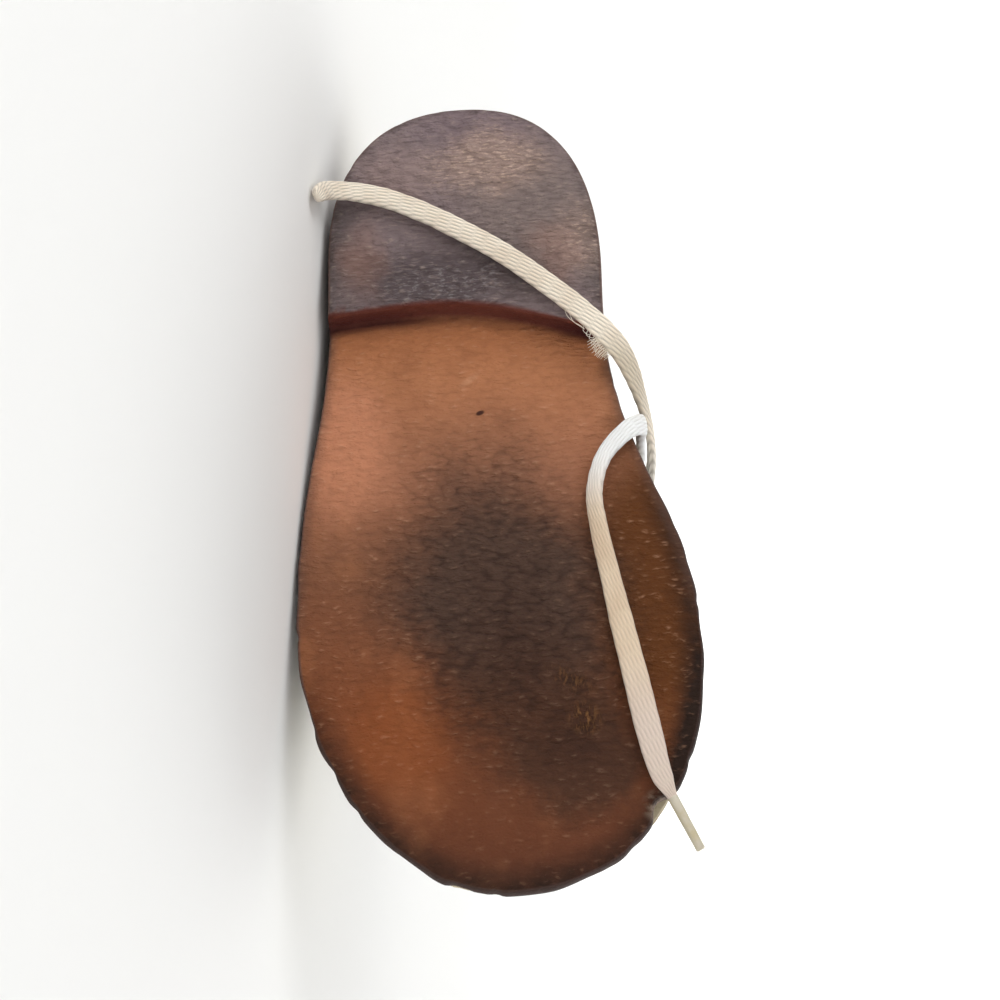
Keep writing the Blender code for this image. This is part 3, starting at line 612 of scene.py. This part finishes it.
def gum_rubber_finish():
    """Amber gum rubber with the stains, scuffs and grey heel that wear has left on it, and with painted
    light: highlights on wrinkle crests, shade in their hollows, on the heel breast and at its foot, a lighter
    outer waist and a darker inner edge.
    """
    made, shader, place = new_finish("gum_rubber")
    shader.inputs["Specular IOR Level"].default_value = 0.1
    parts = place.add("SeparateXYZ", None, {"Vector": place})
    along = Wire(place.tree, parts.socket.node.outputs["X"])
    across = Wire(place.tree, parts.socket.node.outputs["Y"])
    height = Wire(place.tree, parts.socket.node.outputs["Z"])
    inset = place.add("Attribute", {"attribute_name": "inset"}, None, "Fac")
    breast = place.add("Attribute", {"attribute_name": "breast"}, None, "Fac")
    foot = place.add("Attribute", {"attribute_name": "foot"}, None, "Fac")
    drift = {"Vector": place.stretched((9.0, 9.0, 9.0)), "Scale": 1.0, "Detail": 4.0, "Roughness": 0.6}
    drift = place.add("TexNoise", None, drift, "Color")
    centred = {0: drift, 1: (9.0, 9.0, 0.0), 2: (-4.5, -4.5, 0.0)}
    drift = place.add("VectorMath", {"operation": "MULTIPLY_ADD"}, centred)
    wandering = place.add("VectorMath", {"operation": "ADD"}, {0: place, 1: drift})
    ripple = place.add("VectorMath", {"operation": "MULTIPLY_ADD"}, {0: drift, 1: (0.25, 0.4, 0.0), 2: place})
    scales = {"Vector": ripple.stretched((0.85, 1.8, 2.0)), "Scale": 1.0, "Smoothness": 0.35}
    scales = place.add("TexVoronoi", {"feature": "SMOOTH_F1"}, scales, "Distance")
    wrinkles = ripple.cloud((0.5, 1.7, 1.7), 3.0, 0.6)
    mottle = place.cloud((2.2, 3.6, 3.0), 4.0, 0.6)
    clouds = place.cloud((11.0, 9.0, 8.0), 2.0)
    colour = place.add("ValToRGB", {"stops": GUM_ALONG_SOLE}, {"Fac": along * (1.0 / 129.0)})
    colour = paint(place, colour, (186, 122, 82), clouds.soft(0.52, 0.75) * 0.2)
    colour = paint(place, colour, (120, 74, 52), clouds.soft(0.48, 0.25) * 0.2)
    # Painted light: a lighter patch on the outer side of the waist, as if more light fell there.
    colour = paint(place, colour, (196, 132, 100), wandering.spot((57.0, 21.0), (17.0, 11.0)) * 0.85)
    # Painted shade: a darker strip along the inner edge of the waist.
    colour = paint(place, colour, (132, 89, 63), wandering.spot((52.0, -23.0), (13.0, 5.5)) * 0.7)
    colour = paint(place, colour, (139, 77, 42), wandering.spot((106.0, 15.0), (14.0, 11.0), 25.0) * 0.6)
    inner_ball = wandering.spot((83.0, -28.5), (37.0, 19.0), -4.0, 0.35)
    colour = paint(place, colour, (92, 53, 24), inner_ball * 0.95)
    stain = ball_stain(wandering, mottle)
    dark = stain.soft(0.0, 1.2)
    stain_colour = paint(place, srgb(78, 59, 50), (74, 48, 35), along.soft(86.0, 104.0))
    colour = stain_colour.over(colour, dark * 0.96)
    colour = paint(place, colour, (58, 37, 28), stain.soft(1.15, 1.95) * 0.8)
    heel = height.soft(HEEL_STEP + 0.5, HEEL_STEP - 0.4) * along.soft(46.0, 44.0)
    heel_colour, worked = worn_heel(place, wandering, ripple, mottle, inset.soft(1.7, 0.2))
    colour = heel_colour.over(colour, heel)
    smooth_toe = along.soft(116.0, 96.0) * 0.6 + 0.4
    rough = heel * (worked * 0.3 + 0.75) + (1.0 - heel) * smooth_toe * (0.6 + stain.soft(0.1, 0.8) * 0.5)
    edge = inset.soft(5.5, 0.3) * (0.35 + mottle * 1.1)
    at_toe = along.soft(88.0, 112.0) + across.soft(-20.0, -29.0) * along.soft(58.0, 74.0)
    colour = paint(place, colour, (42, 29, 23), edge * at_toe * 0.85)
    beside = inset.soft(2.2, 0.2) * (0.3 + mottle) * (1.0 - heel)
    colour = paint(place, colour, (98, 74, 64), beside * along.soft(92.0, 80.0) * 0.6)
    # Painted highlight: the crests of the crosswise wrinkles are painted lighter, warm on the sole, grey on
    # the heel and dim brown in the stain.
    crest_highlight = (1.0 - scales.soft(0.05, 0.5)) * wrinkles.soft(0.46, 0.66)
    crest_highlight_colour = paint(place, srgb(210, 158, 126), (186, 166, 154), heel)
    colour = crest_highlight_colour.over(colour, crest_highlight * (1.0 - dark) * 0.5 * rough)
    colour = paint(place, colour, (134, 104, 86), crest_highlight * dark * 0.4)
    # Painted shade: the hollows between the wrinkles and scales are painted dark, deeper in the stain.
    hollow = scales.soft(0.5, 0.85) + wrinkles.soft(0.4, 0.24)
    colour = paint(place, colour, (44, 29, 24), hollow * (0.18 + dark * 0.24 + heel * 0.06) * rough)
    gouge = place.spot((104.0, -13.3), (3.4, 3.0), 30.0, 0.2)
    gouge = gouge + place.spot((98.0, -11.5), (5.5, 2.2), 60.0, 0.0) * 0.6
    gouge = gouge * place.cloud((1.5, 0.7, 1.0), 4.0, 0.7).soft(0.46, 0.6)
    colour = paint(place, colour, (156, 108, 68), gouge * 0.65)
    scratch = place.spot((47.3, 1.2), (0.9, 2.8), 35.0, 0.0) * mottle.soft(0.3, 0.6)
    colour = paint(place, colour, (200, 150, 116), scratch * 0.6)
    colour = paint(place, colour, (40, 18, 20), place.spot((53.3, -0.1), (0.5, 0.9), 20.0, 0.5) * 0.9)
    wall = inset.soft(0.45, 0.05) * (1.0 - breast)
    colour = paint(place, colour, (104, 82, 76), wall * 0.75)
    colour = paint(place, colour, (54, 40, 36), wall * at_toe * 0.8)
    torn = place.spot((117.6, -23.4), (3.0, 3.0), 0.0, 0.2) * mottle.soft(0.35, 0.55)
    colour = paint(place, colour, (164, 142, 124), torn * 0.8)
    # The heel breast's colour: partly the rubber's deeper red, partly painted shade on a face turned from the
    # light.
    colour = paint(place, colour, (112, 60, 50), breast * 0.9)
    sides = across.soft(2.0, 14.0) + across.soft(-8.0, -18.0)
    # Painted shade: a dark line where the breast meets the waist, darker towards both sides.
    colour = paint(place, colour, (62, 27, 28), foot * (0.45 + sides * 0.5))
    place.feed(shader.inputs["Base Color"], colour)
    place.feed(shader.inputs["Roughness"], 0.62 + mottle * 0.18 - dark * 0.06)
    fine = place.cloud((0.3, 0.4, 0.4), 3.0)
    grain = ((1.0 - scales) * 0.8 + wrinkles * 0.9) * rough + fine * 0.3 - gouge * 0.8
    relief = {"Strength": 0.95, "Distance": 0.001, "Height": grain}
    place.feed(shader.inputs["Normal"], place.add("Bump", None, relief))
    return made


outsole = copy_of("outsole", "outsole_rubber")
round_off(outsole, 3, 35.0, 0.7)
points, normals = points_of(outsole), normals_of(outsole)
across_heel = (points[:, 0] > 30.0) & (points[:, 0] < 44.0)
is_side = (np.abs(normals[:, 2]) < 0.35) & (~across_heel | (np.abs(normals[:, 1]) > 0.75))
side_points = points[is_side]
inset = np.empty(len(points))
for first in range(0, len(points), 2000):
    gap = points[first : first + 2000, None, :2] - side_points[None, :, :2]
    inset[first : first + 2000] = np.sqrt((gap**2).sum(2).min(1))
breast = np.clip(normals[:, 0] * 2.0 - 0.5, 0.0, 1.0) * across_heel * (points[:, 2] > 0.1)
ahead = points[:, 0] - np.interp(points[:, 1], HEEL_EDGE[1], HEEL_EDGE[0])
# Closeness to the foot of the breast, kept as a mask for the painted shade along it.
foot = np.exp(-(((ahead - 1.2) / 1.1) ** 2)) * across_heel * (points[:, 2] > 1.2)
under = np.clip(-normals[:, 2] * 1.5 - 0.4, 0.0, 1.0)
wrinkle = lumps(points, (2.0, 3.2, 4.0)) + 0.7 * lumps(points, (3.5, 6.0, 6.0), 5.0)
lift = 0.08 * wrinkle * under
at_edge = np.clip(1.0 - inset / 2.5, 0.0, 1.0)
nicks = np.maximum(0.0, lumps(points, (3.0, 3.0, 30.0), 2.0)) ** 2
lift -= 0.9 * nicks * at_edge * np.clip((points[:, 0] - 60.0) / 30.0, 0.25, 1.0)
waves = lumps(points, (6.0, 6.0, 40.0), 9.0) * at_edge
lift += 0.3 * waves * np.clip((points[:, 0] - 60.0) / 20.0, 0.15, 1.7)
torn = np.exp(-(((points[:, :2] - TORN_EDGE) / 2.2) ** 2).sum(1))
points[:, :2] += torn[:, None] * TORN_INWARDS
set_points(outsole, points + normals * lift[:, None])
outsole.data.attributes.new("breast", "FLOAT", "POINT").data.foreach_set("value", breast.astype(np.float32))
outsole.data.attributes.new("foot", "FLOAT", "POINT").data.foreach_set("value", foot.astype(np.float32))
outsole.data.attributes.new("inset", "FLOAT", "POINT").data.foreach_set("value", inset.astype(np.float32))
outsole.data.materials.append(gum_rubber_finish())

# Lacing: one flat tubular braid of off-white cotton, run straight across the throat.
# It dives through the punched eyelets of both facings and passes underneath from bar to bar.
LACE_WIDTH = 4.6
LACE_THICK = 1.35
BRAID_COLUMNS = 6
BRAID_PITCH = 2.2
BRAID_LEAN = 0.95
BRAID_RELIEF = 0.15
FACE_POINTS = 36
BAR_FACINGS = (
    (0.0, 1.0, 0.0), (0.0, 0.9, 0.4), (0.3, 0.5, 0.8), (0.45, 0.15, 0.9), (0.47, 0.0, 0.88),
    (0.45, -0.15, 0.9), (0.3, -0.5, 0.8), (0.0, -0.9, 0.4), (0.0, -1.0, 0.0),
)
BAR_ROUTES = (
    (
        (76.4, 7.6, 41.3), (77.4, 8.3, 43.4), (77.6, 7.0, 45.6), (77.0, 4.0, 46.6), (77.0, -0.8, 47.0),
        (77.2, -5.4, 46.6), (77.8, -8.3, 45.6), (77.6, -9.6, 43.4), (76.6, -8.9, 41.3),
    ),
    (
        (69.8, 8.7, 44.3), (70.8, 9.7, 46.2), (70.9, 8.4, 48.6), (70.2, 5.4, 49.8), (70.2, -0.4, 50.3),
        (70.4, -6.0, 49.8), (71.1, -9.1, 48.6), (71.1, -10.3, 46.2), (70.1, -9.4, 44.2),
    ),
    (
        (63.4, 9.9, 47.0), (64.3, 11.0, 48.8), (64.3, 9.9, 51.2), (63.6, 6.8, 52.8), (63.5, 0.0, 53.3),
        (63.6, -6.6, 52.8), (64.5, -9.8, 51.2), (64.6, -10.9, 48.8), (63.9, -9.8, 46.9),
    ),
)


def cotton_lace_finish(name, light, shade, clean_from, clean_to, contrast):
    """Braided cotton, a little soiled, with painted shade between the strands, and white where the bow kept
    it clean.
    """
    made, shader, place = new_finish(name, roughness=0.9, sheen_weight=0.2)
    hollow = place.add("Attribute", {"attribute_name": "hollow"}, None, "Fac")
    along = place.add("SeparateXYZ", None, {"Vector": place})
    patches = place.cloud((7.0, 7.0, 7.0))
    colour = paint(place, srgb(*light), shade, patches.soft(0.4, 0.72))
    colour = paint(place, colour, (240, 243, 245), along.soft(clean_from, clean_to) * 0.9)
    colour = paint(place, colour, (214, 197, 187), along.soft(92.0, 108.0) * 0.8)
    colour = paint(place, colour, (204, 189, 166), place.spot((49.5, -23.0), (8.5, 8.0)) * 0.85)
    fibres = place.cloud((0.14, 0.14, 0.14), 3.0, 0.7)
    colour = paint(place, colour, [0.8 * v for v in shade], fibres.soft(0.5, 0.75) * (0.1 + 0.35 * contrast))
    # Painted shade between the strands of the braid, where the braid dips.
    colour = paint(place, colour, [0.62 * v for v in shade], hollow.soft(0.2, 0.9) * contrast)
    place.feed(shader.inputs["Base Color"], colour)
    relief = {"Strength": 0.5, "Distance": 0.0001, "Height": fibres}
    place.feed(shader.inputs["Normal"], place.add("Bump", None, relief))
    return made


def lace_run(route, facings, step):
    """A lace's middle line, how far along its points are, their heading and where the broad side looks."""
    line = smooth_line(route, step)
    heading = np.gradient(line, axis=0)
    heading /= np.linalg.norm(heading, axis=1)[:, None]
    corners = np.asarray(route, float)
    walked = np.concatenate([[0.0], np.cumsum(np.linalg.norm(np.diff(corners, axis=0), axis=1))])
    at = np.linspace(0.0, walked[-1], len(line))
    raised = np.column_stack([np.interp(at, walked, [facing[k] for facing in facings]) for k in range(3)])
    reach = int(2.5 / step)
    weights = np.hanning(2 * reach + 3)[1:-1]
    padded = np.pad(raised, ((reach, reach), (0, 0)), mode="edge")
    raised = np.column_stack([np.convolve(padded[:, k], weights, "valid") for k in range(3)])
    raised -= heading * (raised * heading).sum(1)[:, None]
    return line, at, heading, raised / np.linalg.norm(raised, axis=1)[:, None]


def braid(name, route, facings, widths, finish, step=0.3):
    """Flat braid along a route, its broad side turned to the facings; widths are shares of the full size."""
    line, at, heading, raised = lace_run(route, facings, step)
    count = len(line)
    aside = np.cross(heading, raised)
    share = at / at[-1]
    width = LACE_WIDTH * np.interp(share, [w[0] for w in widths], [w[1] for w in widths])
    thick = LACE_THICK * np.interp(share, [w[0] for w in widths], [w[2] for w in widths])
    face = np.linspace(-1.0, 1.0, FACE_POINTS)
    flat = np.concatenate([face, face[-2:0:-1]])
    side = np.concatenate([np.ones(FACE_POINTS), -np.ones(FACE_POINTS - 2)])
    deep = side * (1.0 - np.abs(flat) ** 3.0) ** (1.0 / 2.2)
    section = len(flat)
    column = (flat * 0.499 + 0.5) * BRAID_COLUMNS
    part = column - np.floor(column)
    phase = at[:, None] / BRAID_PITCH + column[None, :] * BRAID_LEAN
    strand = np.abs(np.sin(np.pi * phase)) ** 0.7 * np.sin(np.pi * np.clip(part, 0.08, 0.92))[None, :] ** 0.5
    loose = 1.0 + 0.05 * lumps(np.column_stack([at, at * 0.0, at * 0.0]), 3.0, len(name))
    spread = flat[None, :] * (0.5 * width * loose)[:, None]
    corners = line[:, None, :] + aside[:, None, :] * spread[:, :, None]
    rise = deep[None, :] * 0.5 * thick[:, None] + side[None, :] * BRAID_RELIEF * (strand - 0.6)
    corners = corners + raised[:, None, :] * rise[:, :, None]
    tips = (line[:1] - 0.3 * heading[:1], line[-1:] + 0.3 * heading[-1:])
    corners = to_frame(np.concatenate([corners.reshape(-1, 3), *tips]))
    corners[:, 2] = np.maximum(corners[:, 2], 0.0)
    faces = []
    for i in range(count - 1):
        for k in range(section):
            m = (k + 1) % section
            a, b = i * section, (i + 1) * section
            faces.append((a + k, a + m, b + m, b + k))
    end = (count - 1) * section
    tip = count * section
    for k in range(section):
        m = (k + 1) % section
        faces.append((m, k, tip))
        faces.append((end + k, end + m, tip + 1))
    mesh = bpy.data.meshes.new(name)
    mesh.from_pydata([tuple(corner) for corner in corners], [], faces)
    mesh.polygons.foreach_set("use_smooth", [True] * len(faces))
    # Where the strands dip, kept as a mask for the painted shade between them.
    hollow = np.concatenate([1.0 - strand.ravel(), [0.5, 0.5]])
    mesh.attributes.new("hollow", "FLOAT", "POINT").data.foreach_set("value", hollow.astype(np.float32))
    mesh.materials.append(finish)
    piece = bpy.data.objects.new(name, mesh)
    bpy.context.scene.collection.objects.link(piece)
    bpy.context.view_layer.objects.active = piece
    bpy.ops.object.mode_set(mode="EDIT")
    bpy.ops.mesh.select_all(action="SELECT")
    bpy.ops.mesh.normals_make_consistent(inside=False)
    bpy.ops.object.mode_set(mode="OBJECT")
    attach(piece, "root")
    return piece, line


cream_cotton = cotton_lace_finish("cream_cotton", (245, 234, 217), (230, 214, 194), 54.0, 66.0, 0.7)
bar_widths = (
    (0.0, 0.5, 1.2), (0.1, 0.55, 1.2), (0.24, 1.0, 1.0), (0.76, 1.0, 1.0), (0.9, 0.55, 1.2), (1.0, 0.5, 1.2),
)
for number, route in enumerate(BAR_ROUTES, start=1):
    bar, _ = braid("lace_across_%d" % number, route, BAR_FACINGS, bar_widths, cream_cotton)
    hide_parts("lace_bar_%d" % number)

# Lace ends: the two free ends of the same braid. One comes out of the inner top eyelet and crosses
# the heel, ending cut and rolled. The other comes over the tongue from the outer top eyelet,
# bends over the inner edge of the sole and runs to the toe, where its plastic tip is.
HEEL_ROUTE = (
    (57.7, -10.4, 49.7), (58.9, -13.2, 52.4), (61.4, -18.4, 46.6), (62.4, -23.6, 36.6), (60.6, -26.4, 28.4),
    (57.4, -27.7, 21.2), (54.4, -27.6, 15.6), (52.0, -26.8, 10.9), (49.9, -25.8, 6.7), (47.6, -24.7, 3.6),
    (44.9, -23.0, 0.6), (41.6, -20.2, -1.1), (38.4, -17.2, -1.5), (32.6, -11.1, -1.5), (27.5, -5.1, -1.5),
    (23.2, 1.2, -1.5), (19.4, 7.5, -1.5), (16.4, 14.0, -1.5), (15.6, 18.6, -2.4), (16.4, 21.9, -4.8),
    (18.2, 23.0, -8.0), (20.2, 23.6, -10.6),
)
TOE_ROUTE = (
    (57.0, 11.2, 49.7), (58.4, 14.0, 52.4), (57.4, 11.2, 56.5), (56.2, 4.0, 58.8), (55.3, -4.0, 58.9),
    (54.9, -11.0, 56.6), (55.2, -18.3, 46.6), (56.9, -22.4, 37.0), (58.2, -24.5, 27.6), (58.2, -25.3, 18.0),
    (57.6, -25.6, 11.6), (56.9, -25.4, 6.5), (56.9, -25.4, 2.2), (58.5, -23.2, -0.6), (62.6, -19.1, -0.8),
    (68.5, -17.1, -1.1), (74.9, -17.4, -1.4), (82.1, -18.5, -1.5), (90.1, -19.8, -1.5), (98.8, -21.3, -1.5),
    (107.3, -22.7, -1.4), (114.0, -24.2, -0.8), (117.0, -25.5, -0.3),
)
HEEL_FACINGS = (
    (0.0, 0.7, 0.7), (0.0, -0.3, 0.95), (0.15, -0.8, 0.55), (0.1, -0.92, 0.35), (0.0, -0.98, 0.15),
    (0.0, -1.0, 0.0), (0.0, -1.0, -0.05), (0.0, -0.97, -0.25), (0.0, -0.88, -0.48), (0.0, -0.65, -0.76),
    (0.0, -0.35, -0.93), (0.0, -0.1, -1.0), (0.0, 0.0, -1.0), (0.0, 0.0, -1.0), (0.0, 0.0, -1.0),
    (0.0, 0.0, -1.0), (0.0, 0.0, -1.0), (0.0, 0.0, -1.0), (0.0, -0.35, -0.93), (0.0, -0.6, -0.8),
    (0.1, -0.7, -0.7), (0.1, -0.7, -0.7),
)
TOE_FACINGS = (
    (0.0, 0.7, -0.7), (0.0, 1.0, 0.0), (0.0, 0.6, 0.8), (0.0, 0.1, 1.0), (0.0, -0.1, 1.0), (0.0, -0.7, 0.7),
    (0.0, -0.9, 0.4), (0.0, -0.95, 0.3), (0.0, -1.0, 0.15), (0.0, -1.0, 0.0), (0.0, -1.0, 0.0),
    (0.0, -1.0, 0.0), (0.0, -0.8, -0.6), (0.0, -0.2, -1.0), (-0.2, 0.3, -0.93), (0.0, 0.6, -0.8),
    (0.0, 0.35, -0.93), (0.0, 0.1, -1.0), (0.0, 0.0, -1.0), (0.0, 0.0, -1.0), (0.0, 0.0, -1.0),
    (0.0, -0.05, -1.0), (0.0, -0.1, -1.0),
)
pink_cotton = cotton_lace_finish("pink_cotton", (217, 196, 171), (208, 184, 158), 74.0, 61.0, 0.25)
heel_widths = (
    (0.0, 0.5, 1.2), (0.03, 0.6, 1.2), (0.07, 1.0, 1.0), (0.4, 1.0, 1.0), (0.48, 0.9, 1.0),
    (0.52, 0.86, 1.05), (0.57, 0.79, 1.1), (0.8, 0.76, 1.15), (0.88, 0.73, 1.2), (0.96, 0.69, 1.2),
    (0.985, 0.6, 1.1), (1.0, 0.42, 0.8),
)
toe_widths = (
    (0.0, 0.5, 1.2), (0.03, 0.6, 1.2), (0.06, 1.0, 1.0), (0.5, 1.0, 1.0), (0.57, 0.8, 1.1),
    (0.62, 0.62, 1.2), (0.66, 0.55, 1.3), (0.69, 0.58, 1.3), (0.73, 0.63, 1.2), (0.77, 0.67, 1.15),
    (0.83, 0.79, 1.05), (0.88, 0.84, 1.0), (0.92, 0.87, 1.0), (0.95, 0.82, 1.0), (0.98, 0.68, 1.05),
    (0.993, 0.42, 1.1), (1.0, 0.3, 1.0),
)
heel_lace, heel_line = braid("lace_heel_side", HEEL_ROUTE, HEEL_FACINGS, heel_widths, cream_cotton)
toe_lace, toe_line = braid("lace_toe_side", TOE_ROUTE, TOE_FACINGS, toe_widths, pink_cotton)
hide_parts("lace_end_heel")
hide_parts("lace_end_toe")

# Fray: a few cotton threads that have sprung out of the heel-side lace where it rubs on the sole's edge.
FRAYED_THREADS = (
    ((38.0, -14.4, -1.4), (39.3, -14.8, -1.7), (40.6, -16.0, -1.7), (41.6, -17.4, -1.5)),
    ((38.9, -15.2, -1.4), (40.2, -15.6, -1.8), (41.2, -17.0, -1.6)),
    ((41.0, -17.2, -1.4), (42.2, -17.2, -1.9), (42.8, -18.0, -1.9), (42.1, -18.4, -1.6)),
    ((41.7, -17.9, -1.4), (42.9, -17.6, -2.0), (43.3, -18.6, -1.8), (42.4, -18.9, -1.5)),
    ((42.2, -18.4, -1.4), (43.4, -18.0, -1.8), (44.0, -18.6, -1.7)),
)
TUFT_THREADS = 56
frayed = [np.array(thread) for thread in FRAYED_THREADS]
for k in range(TUFT_THREADS):
    share = k / (TUFT_THREADS - 1.0)
    sway = 0.6 * math.sin(7.3 * k) + 0.6 * math.sin(3.1 * k + 1.0)
    root = np.array([42.9 + 2.7 * share, -19.3 - 2.1 * share, -1.2 + 0.9 * share])
    reach = 0.9 + 1.7 * math.sin(2.1 * k) ** 2 * math.sin(math.pi * (0.15 + 0.7 * share))
    tip = root + reach * np.array([0.62 + 0.3 * sway, 0.78 - 0.3 * sway, -0.1 - 0.1 * sway])
    frayed.append(np.array([root, 0.5 * (root + tip) + [0.1 * sway, 0.12, -0.15], tip]))
threads = bpy.data.curves.new("lace_fray", "CURVE")
threads.dimensions = "3D"
threads.bevel_depth = 0.000035
threads.bevel_resolution = 1
for thread in frayed:
    spots = to_frame(smooth_line(thread, 0.3))
    spline = threads.splines.new("POLY")
    spline.points.add(len(spots) - 1)
    for point, spot in zip(spline.points, spots):
        point.co = (*spot, 1.0)
fray = bpy.data.objects.new("lace_fray", threads)
bpy.context.scene.collection.objects.link(fray)
bpy.ops.object.select_all(action="DESELECT")
fray.select_set(True)
bpy.context.view_layer.objects.active = fray
bpy.ops.object.convert(target="MESH")
fray = bpy.context.object
fray.data.materials.append(cream_cotton)
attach(fray, "root")

# Aglet: a short tube of clear yellowed plastic, rolled tight round the lace end and cut off square.
AGLET_LENGTH = 9.0
AGLET_RADIUS = 0.8
AGLET_HEADING = Vector((0.91, -0.41, 0.06)).normalized()
bpy.ops.object.select_all(action="DESELECT")
bpy.ops.mesh.primitive_cylinder_add(vertices=24, radius=AGLET_RADIUS * 0.001, depth=AGLET_LENGTH * 0.001)
aglet = bpy.context.object
aglet.name = "lace_tip"
bpy.ops.object.mode_set(mode="EDIT")
bpy.ops.mesh.select_all(action="SELECT")
bpy.ops.mesh.bevel(offset=0.0003, segments=4, affect="EDGES")
bpy.ops.mesh.select_all(action="SELECT")
bpy.ops.mesh.remove_doubles(threshold=0.000002)
bpy.ops.object.mode_set(mode="OBJECT")
bpy.ops.object.shade_smooth_by_angle(angle=math.radians(35.0))
for vertex in aglet.data.vertices:
    vertex.co.xy *= 0.94 - vertex.co.z * 120.0 / AGLET_LENGTH
start = Vector(TOE_ROUTE[-1]) + AGLET_HEADING * (0.5 * AGLET_LENGTH - 0.4)
stand = (TURN @ AGLET_HEADING).to_track_quat("Z", "Y").to_matrix().to_4x4()
aglet.data.transform(Matrix.Translation(to_frame(start)) @ stand)


def clear_plastic_finish():
    """Yellowed clear plastic, with the lace showing dimly through it."""
    made, shader, place = new_finish("clear_plastic", roughness=0.22, coat_weight=0.4, coat_roughness=0.1)
    threads = place.cloud((3.0, 3.0, 3.0))
    colour = paint(place, srgb(200, 191, 172), (190, 178, 146), threads.soft(0.35, 0.65))
    place.feed(shader.inputs["Base Color"], colour)
    return made


aglet.data.materials.append(clear_plastic_finish())
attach(aglet, "root")
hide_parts("lace_aglet")

# Studio: a plain pale floor that rises in a wide curve all round, soft lamps and the camera.
# The camera looks at the sole from the photograph's angle and is rolled so that the heel is on top.
bpy.ops.object.select_all(action="DESELECT")
bpy.ops.mesh.primitive_circle_add(vertices=96, radius=1.1, fill_type="NGON")
floor = bpy.context.object
floor.name = "studio_floor"
bpy.ops.object.mode_set(mode="EDIT")
bpy.ops.mesh.select_all(action="SELECT")
bpy.ops.mesh.region_to_loop()
for wider, higher in ((1.3, 0.03), (1.2, 0.12), (1.12, 0.3), (1.06, 0.6), (1.02, 0.8)):
    bpy.ops.mesh.extrude_edges_move()
    bpy.ops.transform.resize(value=(wider, wider, 1.0))
    bpy.ops.transform.translate(value=(0.0, 0.0, higher))
bpy.ops.object.mode_set(mode="OBJECT")
bpy.ops.object.shade_smooth()
floor_paint = bpy.data.materials.new("floor_paint")
floor_paint.use_nodes = True
floor_shader = floor_paint.node_tree.nodes["Principled BSDF"]
floor_shader.inputs["Base Color"].default_value = (0.86, 0.86, 0.85, 1.0)
floor_shader.inputs["Roughness"].default_value = 0.9
floor.data.materials.append(floor_paint)

world = bpy.data.worlds.new("studio")
world.use_nodes = True
world.node_tree.nodes["Background"].inputs["Color"].default_value = (1.0, 1.0, 1.0, 1.0)
world.node_tree.nodes["Background"].inputs["Strength"].default_value = 0.64
bpy.context.scene.world = world
LAMPS = (
    ("key", (-0.8, -0.75, 0.55), (0.0, 0.0, 0.03), 0.9, 6.2),
    ("fill", (0.7, -0.8, 0.45), (0.0, 0.0, 0.03), 0.8, 1.5),
    ("back", (0.1, 0.8, 0.9), (0.0, 0.0, 0.03), 0.8, 2.6),
    ("wall", (0.0, 0.9, 1.3), (0.0, 2.2, 0.55), 1.2, 30.0),
)
for name, spot, aim, size, power in LAMPS:
    lamp = bpy.data.lights.new(name, "AREA")
    lamp.shape = "DISK"
    lamp.size = size
    lamp.energy = power
    holder = bpy.data.objects.new(name, lamp)
    holder.location = spot
    holder.rotation_mode = "QUATERNION"
    holder.rotation_quaternion = (Vector(aim) - Vector(spot)).to_track_quat("-Z", "Y")
    bpy.context.scene.collection.objects.link(holder)

VIEW_TILT = math.radians(19.0)
VIEW_ROLL = math.radians(-3.3)
VIEW_DISTANCE = 350.0
VIEW_AIM = Vector((68.8, -2.46, 0.0))
ahead = Vector((-math.sin(VIEW_TILT), 0.0, math.cos(VIEW_TILT)))
upward = Vector((-math.cos(VIEW_TILT), 0.0, -math.sin(VIEW_TILT)))
rightward = ahead.cross(upward)
rolled_right = rightward * math.cos(VIEW_ROLL) + upward * math.sin(VIEW_ROLL)
rolled_up = upward * math.cos(VIEW_ROLL) - rightward * math.sin(VIEW_ROLL)
lens = bpy.data.cameras.new("camera")
lens.sensor_width = 36.0
lens.lens = 81.4
lens.clip_start = 0.01
camera = bpy.data.objects.new("camera", lens)
bpy.context.scene.collection.objects.link(camera)
stand = Matrix((TURN @ rolled_right, TURN @ rolled_up, TURN @ -ahead)).transposed().to_4x4()
camera.matrix_world = Matrix.Translation(to_frame(VIEW_AIM - ahead * VIEW_DISTANCE)) @ stand
bpy.context.scene.camera = camera
bpy.context.scene.view_settings.view_transform = "Standard"
